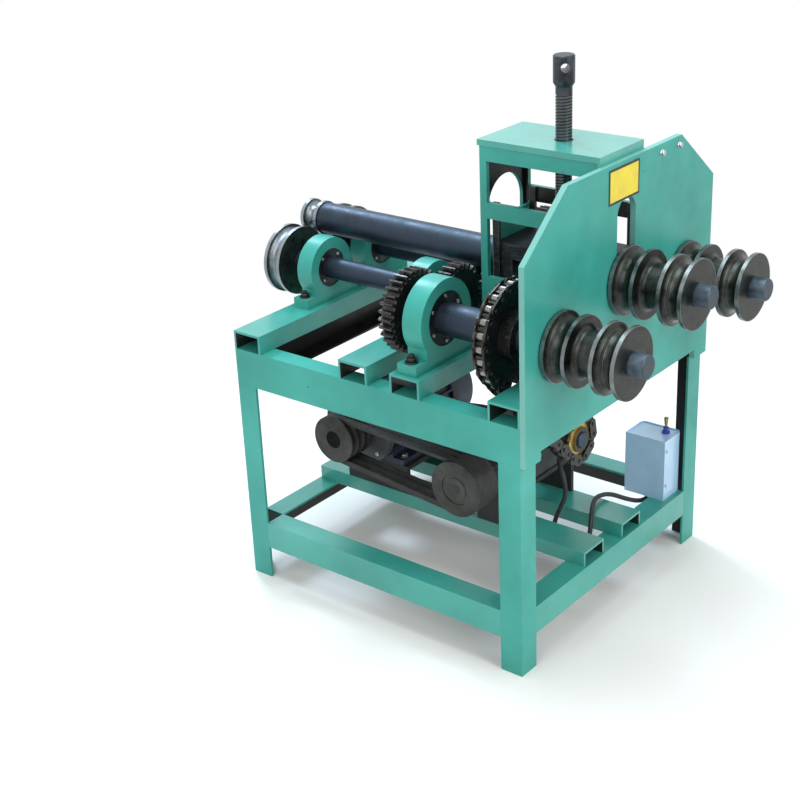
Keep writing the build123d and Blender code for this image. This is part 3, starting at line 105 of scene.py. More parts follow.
def apart(tree, first, second):
    """How far two values are apart."""
    return math_node(tree, "ABSOLUTE", math_node(tree, "SUBTRACT", first, second))


def object_axes(tree):
    """The three object coordinates."""
    coordinates = tree.nodes.new("ShaderNodeTexCoord")
    split = tree.nodes.new("ShaderNodeSeparateXYZ")
    tree.links.new(coordinates.outputs["Object"], split.inputs["Vector"])
    return split.outputs


def stretched(tree, scale=(1, 1, 1)):
    """Object coordinates, each multiplied by its own factor."""
    coordinates = tree.nodes.new("ShaderNodeTexCoord")
    mapping = tree.nodes.new("ShaderNodeMapping")
    mapping.inputs["Scale"].default_value = scale
    tree.links.new(coordinates.outputs["Object"], mapping.inputs["Vector"])
    return mapping.outputs["Vector"]


def noise(tree, vector, scale, detail=4.0, roughness=0.55):
    """Noise value between 0 and 1."""
    made = tree.nodes.new("ShaderNodeTexNoise")
    tree.links.new(vector, made.inputs["Vector"])
    made.inputs["Scale"].default_value = scale
    made.inputs["Detail"].default_value = detail
    made.inputs["Roughness"].default_value = roughness
    return made.outputs["Fac"]


def spread(tree, value, source, target=(0.0, 1.0)):
    """Value moved from one range to another and held inside it."""
    made = tree.nodes.new("ShaderNodeMapRange")
    link(tree, value, made.inputs["Value"])
    for socket, number in zip(made.inputs[1:5], (*source, *target)):
        socket.default_value = number
    return made.outputs["Result"]


def blended(tree, factor, first, second):
    """Colour mixed between two colours or sockets."""
    made = tree.nodes.new("ShaderNodeMix")
    made.data_type = "RGBA"
    link(tree, factor, made.inputs["Factor"])
    for socket, colour in ((made.inputs["A"], first), (made.inputs["B"], second)):
        if isinstance(colour, bpy.types.NodeSocket):
            tree.links.new(colour, socket)
        else:
            socket.default_value = (*colour, 1.0)
    return made.outputs["Result"]


def shade(colour, factor, lift=0.0):
    """Colour multiplied and lifted, up to full."""
    return tuple(min(1.0, factor * part + lift) for part in colour)


def edge_wear(tree, radius):
    """Value that is high along outer and inner edges."""
    bevel = tree.nodes.new("ShaderNodeBevel")
    bevel.samples = 4
    bevel.inputs["Radius"].default_value = radius
    geometry = tree.nodes.new("ShaderNodeNewGeometry")
    likeness = tree.nodes.new("ShaderNodeVectorMath")
    likeness.operation = "DOT_PRODUCT"
    tree.links.new(bevel.outputs["Normal"], likeness.inputs[0])
    tree.links.new(geometry.outputs["Normal"], likeness.inputs[1])
    return spread(tree, likeness.outputs["Value"], (0.98, 0.75))


def off_axis(tree, source, most=1.0):
    """Full on surfaces round an axis along X, nothing on faces that look along it."""
    geometry = tree.nodes.new("ShaderNodeNewGeometry")
    split = tree.nodes.new("ShaderNodeSeparateXYZ")
    tree.links.new(geometry.outputs["True Normal"], split.inputs["Vector"])
    return spread(tree, math_node(tree, "ABSOLUTE", split.outputs["X"]), source, (0.0, most))


def axis_radius(tree, axis, drop):
    """Distance from an axis and place along it, where drop is the coordinate along that axis."""
    places = object_axes(tree)
    kept = [places[index] for index in range(3) if index != drop]
    squares = [
        math_node(tree, "POWER", math_node(tree, "SUBTRACT", value, center), 2.0)
        for value, center in zip(kept, axis)
    ]
    return math_node(tree, "SQRT", math_node(tree, "ADD", *squares)), places[drop]


def within(tree, boxes):
    """1 inside any of the boxes, each given by two corners, and 0 elsewhere."""
    places = object_axes(tree)
    found = 0.0
    for low, high in boxes:
        inside = 1.0
        for value, first, last in zip(places, low, high):
            offset = apart(tree, value, (first + last) / 2)
            inside = product(tree, inside, math_node(tree, "LESS_THAN", offset, (last - first) / 2))
        found = larger(tree, found, inside)
    return found


def bumped(tree, shader, height, strength, distance):
    """Surface relief from a height."""
    made = tree.nodes.new("ShaderNodeBump")
    made.inputs["Strength"].default_value = strength
    made.inputs["Distance"].default_value = distance
    tree.links.new(height, made.inputs["Height"])
    tree.links.new(made.outputs["Normal"], shader.inputs["Normal"])


def roughened(tree, shader, value, low, high):
    """Roughness between two levels, after a noise value."""
    tree.links.new(spread(tree, value, middle_range, (low, high)), shader.inputs["Roughness"])


def paint(name, colour, chip, gloss, chip_level=0.60, painted_shade_boxes=(), painted_rim_highlight=0.0, lacquer=0.10):
    """Sprayed enamel with uneven tone, dust, orange peel and chips along its edges.

    Inside the shade boxes the coat turns near-black, painted shade on the inner faces; the rim
    highlight value is how far the cut edges of an upright plate are paled, a painted highlight,
    and lacquer is the weight of the clear coat.
    """
    material, tree, shader = new_material(name)
    plain = stretched(tree)
    tone = noise(tree, plain, scale=5.0, detail=5.0)
    darker, lighter = shade(colour, 0.80), shade(colour, 1.12, 0.012)
    dusty = shade(colour, 0.70, 0.07)
    coat = blended(tree, spread(tree, tone, middle_range), darker, lighter)
    grit = noise(tree, plain, scale=38.0, detail=8.0, roughness=0.7)
    coat = blended(tree, spread(tree, grit, (0.52, 0.80), (0.0, 0.25)), coat, dusty)
    # Painted highlight: the cut edges of an upright plate are paled
    if painted_rim_highlight:
        coat = blended(tree, off_axis(tree, (0.6, 0.4), painted_rim_highlight), coat, shade(colour, 0.7, 0.28))
    flakes = noise(tree, plain, scale=160.0, detail=3.0, roughness=0.6)
    flakes = spread(tree, flakes, (chip_level, chip_level + 0.04))
    specks = noise(tree, plain, scale=75.0, detail=2.0, roughness=0.5)
    specks = spread(tree, specks, (0.775, 0.79))
    chips = larger(tree, product(tree, edge_wear(tree, radius=0.0022), flakes), specks)
    coat = blended(tree, chips, coat, chip)
    # Painted shade: inside the boxes the coat turns near-black on the inner faces
    if painted_shade_boxes:
        painted_shade = blended(tree, tone, (0.012, 0.011, 0.009), (0.026, 0.023, 0.019))
        coat = blended(tree, within(tree, painted_shade_boxes), coat, painted_shade)
    tree.links.new(coat, shader.inputs["Base Color"])
    film = spread(tree, noise(tree, plain, scale=22.0), middle_range, (gloss - 0.07, gloss + 0.12))
    film = math_node(tree, "ADD", film, product(tree, chips, 0.25))
    tree.links.new(film, shader.inputs["Roughness"])
    shader.inputs["Specular IOR Level"].default_value = 0.28
    shader.inputs["Coat Weight"].default_value = lacquer
    shader.inputs["Coat Roughness"].default_value = 0.22
    peel = noise(tree, plain, scale=420.0, detail=3.0)
    relief = math_node(tree, "SUBTRACT", peel, product(tree, chips, 1.6))
    bumped(tree, shader, relief, strength=0.16, distance=0.0006)
    return material


def steel(name, colour, bright, rough, lathe=(1, 1, 1), streak=900.0, metal=1.0, tips=(),
          sheen=(1, 1, 1), specular=0.5):
    """Turned or rolled steel: fine tool marks, oil stains, edges rubbed bright, and bare tips whose
    flanks get a painted bluish sheen and whose end faces get painted shade.
    """
    material, tree, shader = new_material(name)
    marks = noise(tree, stretched(tree, lathe), streak, detail=3.0, roughness=0.6)
    stain = noise(tree, stretched(tree), scale=26.0, detail=6.0, roughness=0.65)
    patches = spread(tree, stain, patch_range)
    base = blended(tree, patches, shade(colour, 0.55), colour)
    base = blended(tree, spread(tree, marks, (0.50, 0.85), (0.0, 0.45)), base, bright)
    handled = spread(tree, stain, (0.25, 0.60), (0.35, 1.0))
    base = blended(tree, product(tree, edge_wear(tree, radius=0.0016), handled), base, bright)
    # Bare tips: flanks paled and blued as a painted sheen, end faces darkened as painted shade
    if tips:
        shaded_end = blended(tree, stain, (0.016, 0.019, 0.021), (0.042, 0.048, 0.052))
        sheen_flank = blended(tree, patches, (0.026, 0.036, 0.046), (0.110, 0.145, 0.175))
        tip = blended(tree, off_axis(tree, (0.6, 0.4)), shaded_end, sheen_flank)
        base = blended(tree, within(tree, tips), base, tip)
    tree.links.new(base, shader.inputs["Base Color"])
    roughened(tree, shader, stain, rough - 0.08, rough + 0.16)
    shader.inputs["Metallic"].default_value = metal
    shader.inputs["Specular Tint"].default_value = (*sheen, 1.0)
    shader.inputs["Specular IOR Level"].default_value = specular
    bumped(tree, shader, marks, strength=0.22, distance=0.0004)
    return material


def turned_roll(name, axis, rim, wear, groove=None):
    """Roll with lathe rings, dark scale, rims rubbed bright, and a bare worn groove of a colour,
    tinted bluish as a painted reflection.
    """
    material, tree, shader = new_material(name)
    radius, along = axis_radius(tree, axis, 0)
    rings = tree.nodes.new("ShaderNodeTexNoise")
    rings.noise_dimensions = "1D"
    tree.links.new(math_node(tree, "ADD", along, product(tree, radius, 1.7)), rings.inputs["W"])
    rings.inputs["Scale"].default_value = 1400.0
    rings.inputs["Detail"].default_value = 3.0
    stain = noise(tree, stretched(tree), scale=40.0, detail=6.0, roughness=0.65)
    patches = spread(tree, stain, patch_range)
    bright = shade((0.92, 1.0, 1.02), wear)
    if groove:
        base = blended(tree, patches, (0.036, 0.042, 0.038), (0.120, 0.135, 0.120))
        # Bare worn groove; its bluish tint is a painted reflection
        bare = blended(tree, patches, shade(groove, 0.5), groove)
        base = blended(tree, off_axis(tree, (0.97, 0.85)), base, bare)
    else:
        base = blended(tree, patches, (0.014, 0.016, 0.014), (0.054, 0.060, 0.052))
    lines = spread(tree, rings.outputs["Fac"], (0.5, 0.8), (0.0, 0.4))
    base = blended(tree, lines, base, shade(bright, 0.7))
    edge = spread(tree, radius, (rim - 0.0016, rim - 0.0006))
    edge = larger(tree, edge, edge_wear(tree, radius=0.0016))
    rubbed = product(tree, edge, spread(tree, stain, (0.30, 0.60), (0.30, 0.75)))
    tree.links.new(blended(tree, rubbed, base, bright), shader.inputs["Base Color"])
    roughened(tree, shader, stain, 0.24, 0.44)
    shader.inputs["Metallic"].default_value = 0.9
    bumped(tree, shader, rings.outputs["Fac"], strength=0.25, distance=0.0004)
    return material


def cast(name, colour, grain, rough, hub=None):
    """Sand-cast or moulded skin with coarse grain and dust, and near-black painted shade on a hub
    along Y.
    """
    material, tree, shader = new_material(name)
    plain = stretched(tree)
    stain = noise(tree, plain, scale=18.0, detail=6.0, roughness=0.65)
    grains = noise(tree, plain, grain, detail=5.0, roughness=0.6)
    base = blended(tree, spread(tree, stain, (0.35, 0.70)), colour, shade(colour, 0.7, 0.06))
    # Painted shade: inside the hub's reach the colour turns near-black and the surface fully
    # metallic
    if hub:
        axis, reach = hub
        painted_shade = spread(tree, axis_radius(tree, axis, 1)[0], (reach, reach - 0.0015))
        base = blended(tree, painted_shade, base, (0.010, 0.010, 0.009))
        tree.links.new(painted_shade, shader.inputs["Metallic"])
    knocks = spread(tree, grains, (0.45, 0.70), (0.0, 0.6))
    rubbed = product(tree, edge_wear(tree, radius=0.002), knocks)
    base = blended(tree, rubbed, base, shade(colour, 1.8, 0.06))
    tree.links.new(base, shader.inputs["Base Color"])
    roughened(tree, shader, stain, rough - 0.08, rough + 0.12)
    shader.inputs["Specular IOR Level"].default_value = 0.25
    bumped(tree, shader, grains, strength=0.35, distance=0.0008)
    return material


def oil_film(tree, shader, colour, stain, metal):
    """Colour, metal and faint relief of an oiled steel."""
    tree.links.new(colour, shader.inputs["Base Color"])
    shader.inputs["Metallic"].default_value = metal
    bumped(tree, shader, stain, strength=0.15, distance=0.0005)


def chain_steel(name):
    """Oiled chain: dark plates, brighter rollers in its middle plane."""
    material, tree, shader = new_material(name)
    roller = spread(tree, apart(tree, object_axes(tree)["X"], sprocket_plane), (0.0078, 0.0074))
    stain = noise(tree, stretched(tree), scale=90.0, detail=5.0, roughness=0.65)
    dark, light, worn = (0.018, 0.016, 0.015), (0.085, 0.075, 0.066), (0.20, 0.19, 0.17)
    plates = blended(tree, spread(tree, stain, patch_range), dark, light)
    rubbed = spread(tree, stain, (0.30, 0.60), (0.2, 0.8))
    rubbed = product(tree, edge_wear(tree, radius=0.0010), rubbed)
    plates = blended(tree, rubbed, plates, worn)
    gloss = spread(tree, stain, middle_range, (0.26, 0.48))
    gloss = math_node(tree, "SUBTRACT", gloss, product(tree, roller, 0.1))
    tree.links.new(gloss, shader.inputs["Roughness"])
    oil_film(tree, shader, blended(tree, roller, plates, (0.27, 0.27, 0.25)), stain, 0.85)
    return material


def screw_steel(name):
    """Oiled screw: dark, with the crest of its thread and its edges worn brighter."""
    material, tree, shader = new_material(name)
    radius, along = axis_radius(tree, screw_axis, 2)
    stain = noise(tree, stretched(tree), scale=45.0, detail=5.0, roughness=0.6)
    dark, light, worn = (0.018, 0.021, 0.025), (0.070, 0.080, 0.090), (0.20, 0.21, 0.22)
    base = blended(tree, spread(tree, stain, patch_range), dark, light)
    crest = spread(tree, radius, (screw_radius - 0.0006, screw_radius - 0.0002), (0.0, 0.35))
    crest = product(tree, crest, spread(tree, along, (thread_top + 0.001, thread_top)))
    rubbed = larger(tree, crest, product(tree, edge_wear(tree, radius=0.0008), 0.35))
    roughened(tree, shader, stain, 0.28, 0.46)
    oil_film(tree, shader, blended(tree, rubbed, base, worn), stain, 0.8)
    return material


def sprocket_steel(name):
    """Small sprocket: dark teeth and hub, and a brassy ring on its face."""
    material, tree, shader = new_material(name)
    radius, along = axis_radius(tree, output_axis, 0)
    ring = spread(tree, radius, (0.0265, 0.0275))
    ring = product(tree, ring, spread(tree, radius, (0.0405, 0.0395)))
    ring = product(tree, ring, spread(tree, along, (sprocket_plane, sprocket_plane + 0.001)))
    stain = noise(tree, stretched(tree), scale=60.0, detail=5.0, roughness=0.65)
    dark, light, worn = (0.022, 0.020, 0.015), (0.080, 0.072, 0.050), (0.26, 0.23, 0.17)
    base = blended(tree, spread(tree, stain, patch_range), dark, light)
    base = blended(tree, ring, base, blended(tree, stain, (0.34, 0.24, 0.060), (0.62, 0.46, 0.15)))
    rubbed = spread(tree, stain, (0.30, 0.60), (0.1, 0.6))
    rubbed = product(tree, edge_wear(tree, radius=0.0012), rubbed)
    roughened(tree, shader, stain, 0.30, 0.52)
    oil_film(tree, shader, blended(tree, rubbed, base, worn), stain, 0.75)
    return material


def belt_rubber(name, colour, weave):
    """Matt rubber with a faint woven skin and dust."""
    material, tree, shader = new_material(name)
    plain = stretched(tree)
    dust = noise(tree, plain, scale=30.0, detail=6.0, roughness=0.7)
    coat = blended(tree, spread(tree, dust, (0.40, 0.75)), colour, shade(colour, 1.0, 0.035))
    tree.links.new(coat, shader.inputs["Base Color"])
    roughened(tree, shader, dust, 0.50, 0.72)
    threads = noise(tree, plain, weave, detail=2.0, roughness=0.5)
    bumped(tree, shader, threads, strength=0.25, distance=0.0004)
    return material


def enamel(name, painted_shade_boxes=(), painted_rim_highlight=0.0, lacquer=0.10):
    """Green enamel of the frame."""
    colour, chip = (0.040, 0.345, 0.285), (0.10, 0.085, 0.07)
    return paint(name, colour, chip, 0.36, painted_shade_boxes=painted_shade_boxes, painted_rim_highlight=painted_rim_highlight, lacquer=lacquer)


# Boxes of painted shade, which turn the inner faces near-black and end just inside the enamelled
# walls, 5 mm thick
skin = 0.0048
low_corner, high_corner = (frame_back + skin, skin - side), (frame_front - skin, side - skin)
member_floor, rail_floor, stretcher_shelf, below = 0.530, 0.4575, 0.1298, -0.1
member_reach, bearer_reach = member_half - skin, bearer_half - skin
member_painted_shade = [
    ((place - member_reach, -1.0, member_floor), (place + member_reach, 1.0, deck_height - skin))
    for place in (back_member, middle_member, bearing_member, front_member)
]
bearer_painted_shade = [
    ((-1.0, place - bearer_reach, 0.0), (1.0, place + bearer_reach, bearer_top - skin))
    for place in (-bearer_axis, bearer_axis)
]
rail_painted_shade = [((*low_corner, rail_floor), (*high_corner, table_height - skin))]
leg_painted_shade = [((*low_corner, below), (*high_corner, 0.6))]
stretcher_painted_shade = [((*low_corner, below), (*high_corner, stretcher_shelf))]
tower_painted_shade = [((tower_back + 0.0075, -tower_inner, 0.5), (0.4, tower_inner, 1.0))]
# Box of the shafts' bare tips, which get a painted sheen on their flanks and painted shade on their
# ends
shaft_tips = [((0.4692, -1.0, 0.0), (1.0, 1.0, 1.0))]

green = enamel("green_enamel")
top_green = enamel("top_enamel", lacquer=1.0)
# The front plate's cut edges carry a painted highlight
plate_green = enamel("plate_enamel", painted_rim_highlight=0.45)
# Rail, leg, stretcher, member, bearer and tower enamels carry painted shade on their inner faces
rail_green = enamel("rail_enamel", rail_painted_shade)
leg_green = enamel("leg_enamel", leg_painted_shade)
stretcher_green = enamel("stretcher_enamel", stretcher_painted_shade, lacquer=0.6)
member_green = enamel("member_enamel", member_painted_shade, lacquer=0.6)
bearer_green = enamel("bearer_enamel", bearer_painted_shade, lacquer=0.9)
tower_green = enamel("tower_enamel", tower_painted_shade)
box_enamel = paint("box_enamel", (0.44, 0.66, 0.88), (0.24, 0.25, 0.27), 0.34, 0.66, lacquer=0.9)
motor_enamel = paint("motor_enamel", (0.034, 0.042, 0.078), (0.13, 0.12, 0.115), 0.42)
black_enamel = paint("black_enamel", (0.022, 0.023, 0.022), (0.10, 0.095, 0.085), 0.44)

marks_x, marks_y, marks_z = (1.0, 0.02, 0.02), (0.02, 1.0, 0.02), (0.1, 0.1, 1)
gear_marks, block_marks = (0.3, 1, 1), (0.2, 1, 1)
shaft_steel = steel("shaft_steel", (0.010, 0.012, 0.022), (0.046, 0.060, 0.108), 0.42, marks_x,
                    metal=0.15, tips=shaft_tips, sheen=(0.54, 0.76, 1.0), specular=0.9)
drive_steel = steel("drive_steel", (0.034, 0.032, 0.026), (0.085, 0.082, 0.070), 0.50, marks_y,
                    metal=0.3)
gear_steel = steel("gear_steel", (0.045, 0.043, 0.042), (0.30, 0.29, 0.28), 0.36, gear_marks,
                   streak=300.0, metal=0.85)
bush_steel = steel("bush_steel", (0.050, 0.052, 0.056), (0.33, 0.33, 0.34), 0.38, marks_x,
                   streak=700.0, metal=0.85)
block_steel = steel("block_steel", (0.045, 0.047, 0.052), (0.24, 0.24, 0.25), 0.42, block_marks,
                    streak=260.0, metal=0.75)
core_steel = steel("core_steel", (0.012, 0.012, 0.011), (0.040, 0.039, 0.036), 0.52, marks_y,
                   streak=1600.0)
bright_steel = steel("bright_steel", (0.50, 0.50, 0.49), (0.75, 0.74, 0.72), 0.30, streak=500.0)
zinc = steel("zinc_plate", (0.62, 0.66, 0.68), (0.86, 0.89, 0.91), 0.26, streak=500.0)
bolt_steel = steel("bolt_steel", (0.030, 0.030, 0.032), (0.15, 0.15, 0.15), 0.40, streak=500.0,
                   metal=0.6)
bronze = steel("bronze", (0.52, 0.36, 0.15), (0.80, 0.62, 0.32), 0.34, marks_x)
brass = steel("brass", (0.52, 0.40, 0.15), (0.86, 0.72, 0.38), 0.26, marks_z)

hub_radius = 0.020
iron = cast("pulley_iron", (0.022, 0.021, 0.016), 420.0, 0.58)
# The motor pulley's hub carries near-black painted shade
motor_iron = cast("motor_pulley_iron", (0.022, 0.021, 0.016), 420.0, 0.58, (motor_axis, hub_radius))
gearbox_iron = cast("gearbox_iron", (0.060, 0.066, 0.070), 380.0, 0.58)
black_plastic = cast("black_plastic", (0.014, 0.014, 0.016), 900.0, 0.46)
blue_plastic = cast("blue_plastic", (0.030, 0.055, 0.46), 900.0, 0.40)
yellow_plate = cast("label_yellow", (0.86, 0.68, 0.045), 600.0, 0.42)
black_ink = cast("label_border", (0.020, 0.020, 0.020), 600.0, 0.48)
rubber = belt_rubber("lead_rubber", (0.012, 0.012, 0.013), 1500.0)
belt = belt_rubber("belt_rubber", (0.012, 0.011, 0.010), 2200.0)
chain = chain_steel("chain_steel")
screw = screw_steel("screw_steel")
sprocket = sprocket_steel("sprocket_steel")

finishes = {
    green: ["pillow_blocks", "slider_cover"],
    top_green: ["tower_top_plate"],
    plate_green: ["front_plate"],
    rail_green: ["top_rails"],
    leg_green: ["legs"],
    stretcher_green: ["stretchers"],
    member_green: ["cross_members"],
    bearer_green: ["bearers"],
    tower_green: ["tower_sides", "tower_back_plate"],
    black_enamel: ["drive_stands"],
    shaft_steel: ["upper_shaft", "left_shaft", "right_shaft", "back_left_shaft", "back_right_shaft",
                  "output_shaft"],
    drive_steel: ["worm_shaft"],
    core_steel: ["motor_rotor", "stator"],
    gear_steel: ["left_gear", "right_gear", "back_left_gear", "back_right_gear", "idler_gear",
                 "large_sprocket"],
    sprocket: ["small_sprocket"],
    bush_steel: ["shaft_bearings", "plate_bushes", "thrust_cap", "screw_nut", "idler_bracket"],
    block_steel: ["slider_block", "slide_guides"],
    bronze: ["slider_bushes", "worm_wheel"],
    iron: ["worm_pulley"],
    motor_iron: ["motor_pulley"],
    gearbox_iron: ["gearbox_housing", "gearbox_covers", "motor_shields"],
    motor_enamel: ["motor_frame", "motor_covers"],
    black_plastic: ["motor_fan", "cable_glands"],
    box_enamel: ["control_box", "control_box_cover"],
    blue_plastic: ["toggle_switch"],
    brass: ["switch_lever"],
    belt: ["drive_belts"],
    chain: ["drive_chain"],
    screw: ["pressing_screw"],
    rubber: ["motor_lead"],
}

# Rolls: axis, radius of the rims, brightness of worn steel, and colour of a bare groove, whose
# bluish tint is a painted reflection
front_rim, back_rim, small_rim = 0.069, 0.075, 0.03698
front_wear, back_wear = 0.31, 0.36
bare_groove_painted_sheen = (0.30, 0.345, 0.385)
rolls = {
    "left_roll": (mirrored(front_axis), front_rim, front_wear),
    "right_roll": (front_axis, front_rim, front_wear),
    "upper_roll": (upper_axis, front_rim, front_wear),
    "back_left_roll": (mirrored(back_axis), back_rim, back_wear, bare_groove_painted_sheen),
    "back_right_roll": (back_axis, back_rim, back_wear, bare_groove_painted_sheen),
    "upper_back_roll": (upper_axis, small_rim, back_wear, bare_groove_painted_sheen),
}
for name, values in rolls.items():
    finishes[turned_roll(name + "_steel", *values)] = [name]
for material, names in finishes.items():
    for name in names:
        nodes[name].data.materials.clear()
        nodes[name].data.materials.append(material)


# Pieces
sharp_angle = math.radians(35)


def piece(name, mesh, material, body):
    """New object from a bmesh that rides on a body."""
    for face in mesh.faces:
        face.smooth = True
    for edge in mesh.edges:
        edge.smooth = edge.calc_face_angle(math.pi) < sharp_angle
    data = bpy.data.meshes.new(name)
    mesh.to_mesh(data)
    mesh.free()
    made = bpy.data.objects.new(name, data)
    bpy.context.collection.objects.link(made)
    data.materials.append(material)
    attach(made, body)
    return made


def facing(place, direction):
    """Matrix that stands a piece on a place, with its own Z along a direction."""
    turn = Vector(direction).to_track_quat("Z", "Y").to_matrix().to_4x4()
    return Matrix.Translation(place) @ turn


def turned(mesh, matrix, rows, segments=24):
    """Closed round or many-sided form along the matrix's Z, from rows of height and radius."""
    turns = [2 * math.pi * step / segments for step in range(segments)]
    rings = []
    for height, radius in rows:
        loop = [(radius * math.cos(turn), radius * math.sin(turn), height) for turn in turns]
        rings.append([mesh.verts.new(matrix @ Vector(point)) for point in loop])
    for lower, upper in zip(rings, rings[1:]):
        for index in range(segments):
            mesh.faces.new((lower[index - 1], lower[index], upper[index], upper[index - 1]))
    mesh.faces.new(reversed(rings[0]))
    mesh.faces.new(rings[-1])


def bolt(mesh, place, direction, size, washer=True, stud=0.0):
    """Hexagon head with a chamfered top, on a washer or not, or a nut with a stud end."""
    matrix = facing(place, direction)
    head, height, stem = 0.85 * size, 0.65 * size, 0.48 * size
    foot = 0.15 * size if washer else 0.0
    top = foot + height
    if washer:
        turned(mesh, matrix, [(0, 1.05 * size), (foot, 1.02 * size)])
    turned(mesh, matrix, [(0.6 * foot, head), (top - 0.18 * height, head), (top, 0.86 * head)], 6)
    if stud:
        rows = [(0.9 * top, stem), (top + 0.8 * stud, stem), (top + stud, 0.40 * size)]
        turned(mesh, matrix, rows, 16)


def bolt_circle(mesh, center, direction, radius, count, start, size):
    """Bolts without washers round a centre, on a face that looks along X or Y."""
    across = Vector((0, 1, 0)) if direction[0] else Vector((1, 0, 0))
    for step in range(count):
        angle = math.radians(start + 360 * step / count)
        offset = radius * (math.cos(angle) * across + math.sin(angle) * Vector(upward))
        bolt(mesh, Vector(center) + offset, direction, size, washer=False)


def round_screw(mesh, place, direction, radius):
    """Round-headed screw."""
    shape = [(0, 1.0), (0.35, 0.94), (0.60, 0.62), (0.66, 0.55)]
    rows = [(radius * height, radius * reach) for height, reach in shape]
    turned(mesh, facing(place, direction), rows)


# Motor lead on the route of its tube: millimetres behind the frame's front, across and up
lead_back = [64, 64, 70, 92, 102, 88, 70, 62, 73, 104, 138, 154, 142, 124,
             128, 148, 160, 162, 180, 220, 268, 315, 357, 393, 419, 429, 429]
lead_across = [250, 224, 172, 128, 90, 54, 19, 2, -4, -4, -2, 2, 6, 6,
               4, 12, 44, 88, 126, 144, 138, 127, 104, 78, 54, 34, 16]
lead_height = [121, 121, 146, 175, 180, 181, 173, 134, 104, 90, 102, 134, 172, 212,
               254, 284, 295, 292, 290, 291, 295, 304, 314, 325, 332, 334, 334]
lead_data = bpy.data.curves.new("motor_lead_cord", "CURVE")
lead_data.dimensions = "3D"
lead_data.bevel_depth = 0.005
lead_data.bevel_resolution = 5
lead_data.use_fill_caps = True
lead_data.resolution_u = 8
spline = lead_data.splines.new("NURBS")
spline.points.add(len(lead_back) - 1)
for point, back, across, height in zip(spline.points, lead_back, lead_across, lead_height):
    point.co = (frame_front - back / 1000, across / 1000, height / 1000, 1.0)
spline.order_u = 3
spline.use_endpoint_u = True
lead = bpy.data.objects.new("motor_lead_cord", lead_data)
bpy.context.collection.objects.link(lead)
lead_data.materials.append(rubber)
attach(lead, "frame")
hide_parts("motor_lead")

# Pressing screw: head and collar of its node, and between them a shank and a stem with a cut thread
thread_pitch, thread_steps, thread_bottom = 0.006, 32, 0.7705
stem_bottom, stem_lap, shank_top, stem_sides = 0.7710, 0.0005, 1.0825, 48
core_radius, ridge_radius, ridge_crest, ridge_root = 0.01445, 0.01400, 0.0016, 0.0022
screw_line = Vector((*screw_axis, 0.0))
screw_mesh = bmesh.new()
screw_mesh.from_mesh(nodes["pressing_screw"].data)
bmesh.ops.remove_doubles(screw_mesh, verts=screw_mesh.verts, dist=1e-6)
stem_points = {
    point for point in screw_mesh.verts
    if abs((point.co - screw_line).to_2d().length - screw_radius) < 1e-4
}
stem_faces = [face for face in screw_mesh.faces if stem_points.issuperset(face.verts)]
bmesh.ops.delete(screw_mesh, geom=stem_faces, context="FACES")
bmesh.ops.holes_fill(screw_mesh, edges=screw_mesh.edges, sides=0)
stem_rows = [(stem_bottom, core_radius), (thread_top + stem_lap, core_radius)]
shank_rows = [(thread_top, screw_radius), (shank_top, screw_radius)]
for rows in (stem_rows, shank_rows):
    turned(screw_mesh, Matrix.Translation(screw_line), rows, stem_sides)
ridge_outline = [
    (ridge_radius, -ridge_root),
    (screw_radius, -ridge_crest),
    (screw_radius, ridge_crest),
    (ridge_radius, ridge_root),
]
ridge = []
for step in range(round((thread_top - thread_bottom) / thread_pitch * thread_steps) + 1):
    angle = 2 * math.pi * step / thread_steps
    height = thread_bottom + thread_pitch * step / thread_steps
    loop = [
        Vector((reach * math.cos(angle), reach * math.sin(angle), height + rise))
        for reach, rise in ridge_outline
    ]
    ridge.append([screw_mesh.verts.new(screw_line + point) for point in loop])
for before, after in zip(ridge, ridge[1:]):
    for index in range(len(ridge_outline)):
        screw_mesh.faces.new((before[index - 1], before[index], after[index], after[index - 1]))
screw_mesh.faces.new(ridge[0])
screw_mesh.faces.new(reversed(ridge[-1]))
bmesh.ops.recalc_face_normals(screw_mesh, faces=screw_mesh.faces)
threaded_screw = piece("threaded_screw", screw_mesh, screw, "screw")
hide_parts("pressing_screw")

# Bolts on the pillow blocks' feet and round their bearing covers
foot_top = deck_height + 0.022
front_foot, back_foot = 0.084, 0.069
front_covers, back_cover = ((0.052, forward), (0.012, backward)), 0.017
front_circle, back_circle = 0.046, 0.034
foot_bolts = bmesh.new()
cover_bolts = bmesh.new()
for hand in (-1, 1):
    front_place, back_place = hand * front_axis[0], hand * back_axis[0]
    for sign in (-1, 1):
        place = (bearing_member, front_place + sign * front_foot, foot_top)
        bolt(foot_bolts, place, upward, 0.013, stud=0.007)
    for member in (middle_member, back_member):
        for sign in (-1, 1):
            place = (member, back_place + sign * back_foot, foot_top)
            bolt(foot_bolts, place, upward, 0.011, stud=0.006)
    for face, direction in front_covers:
        center = (face, front_place, front_axis[1])
        bolt_circle(cover_bolts, center, direction, front_circle, 6, 30, 0.0052)
    for member in (middle_member, back_member):
        for direction in (backward, forward):
            center = (member + direction[0] * back_cover, back_place, back_axis[1])
            bolt_circle(cover_bolts, center, direction, back_circle, 4, 45, 0.0045)
piece("block_foot_bolts", foot_bolts, bolt_steel, "frame")
piece("bearing_cover_bolts", cover_bolts, bright_steel, "frame")

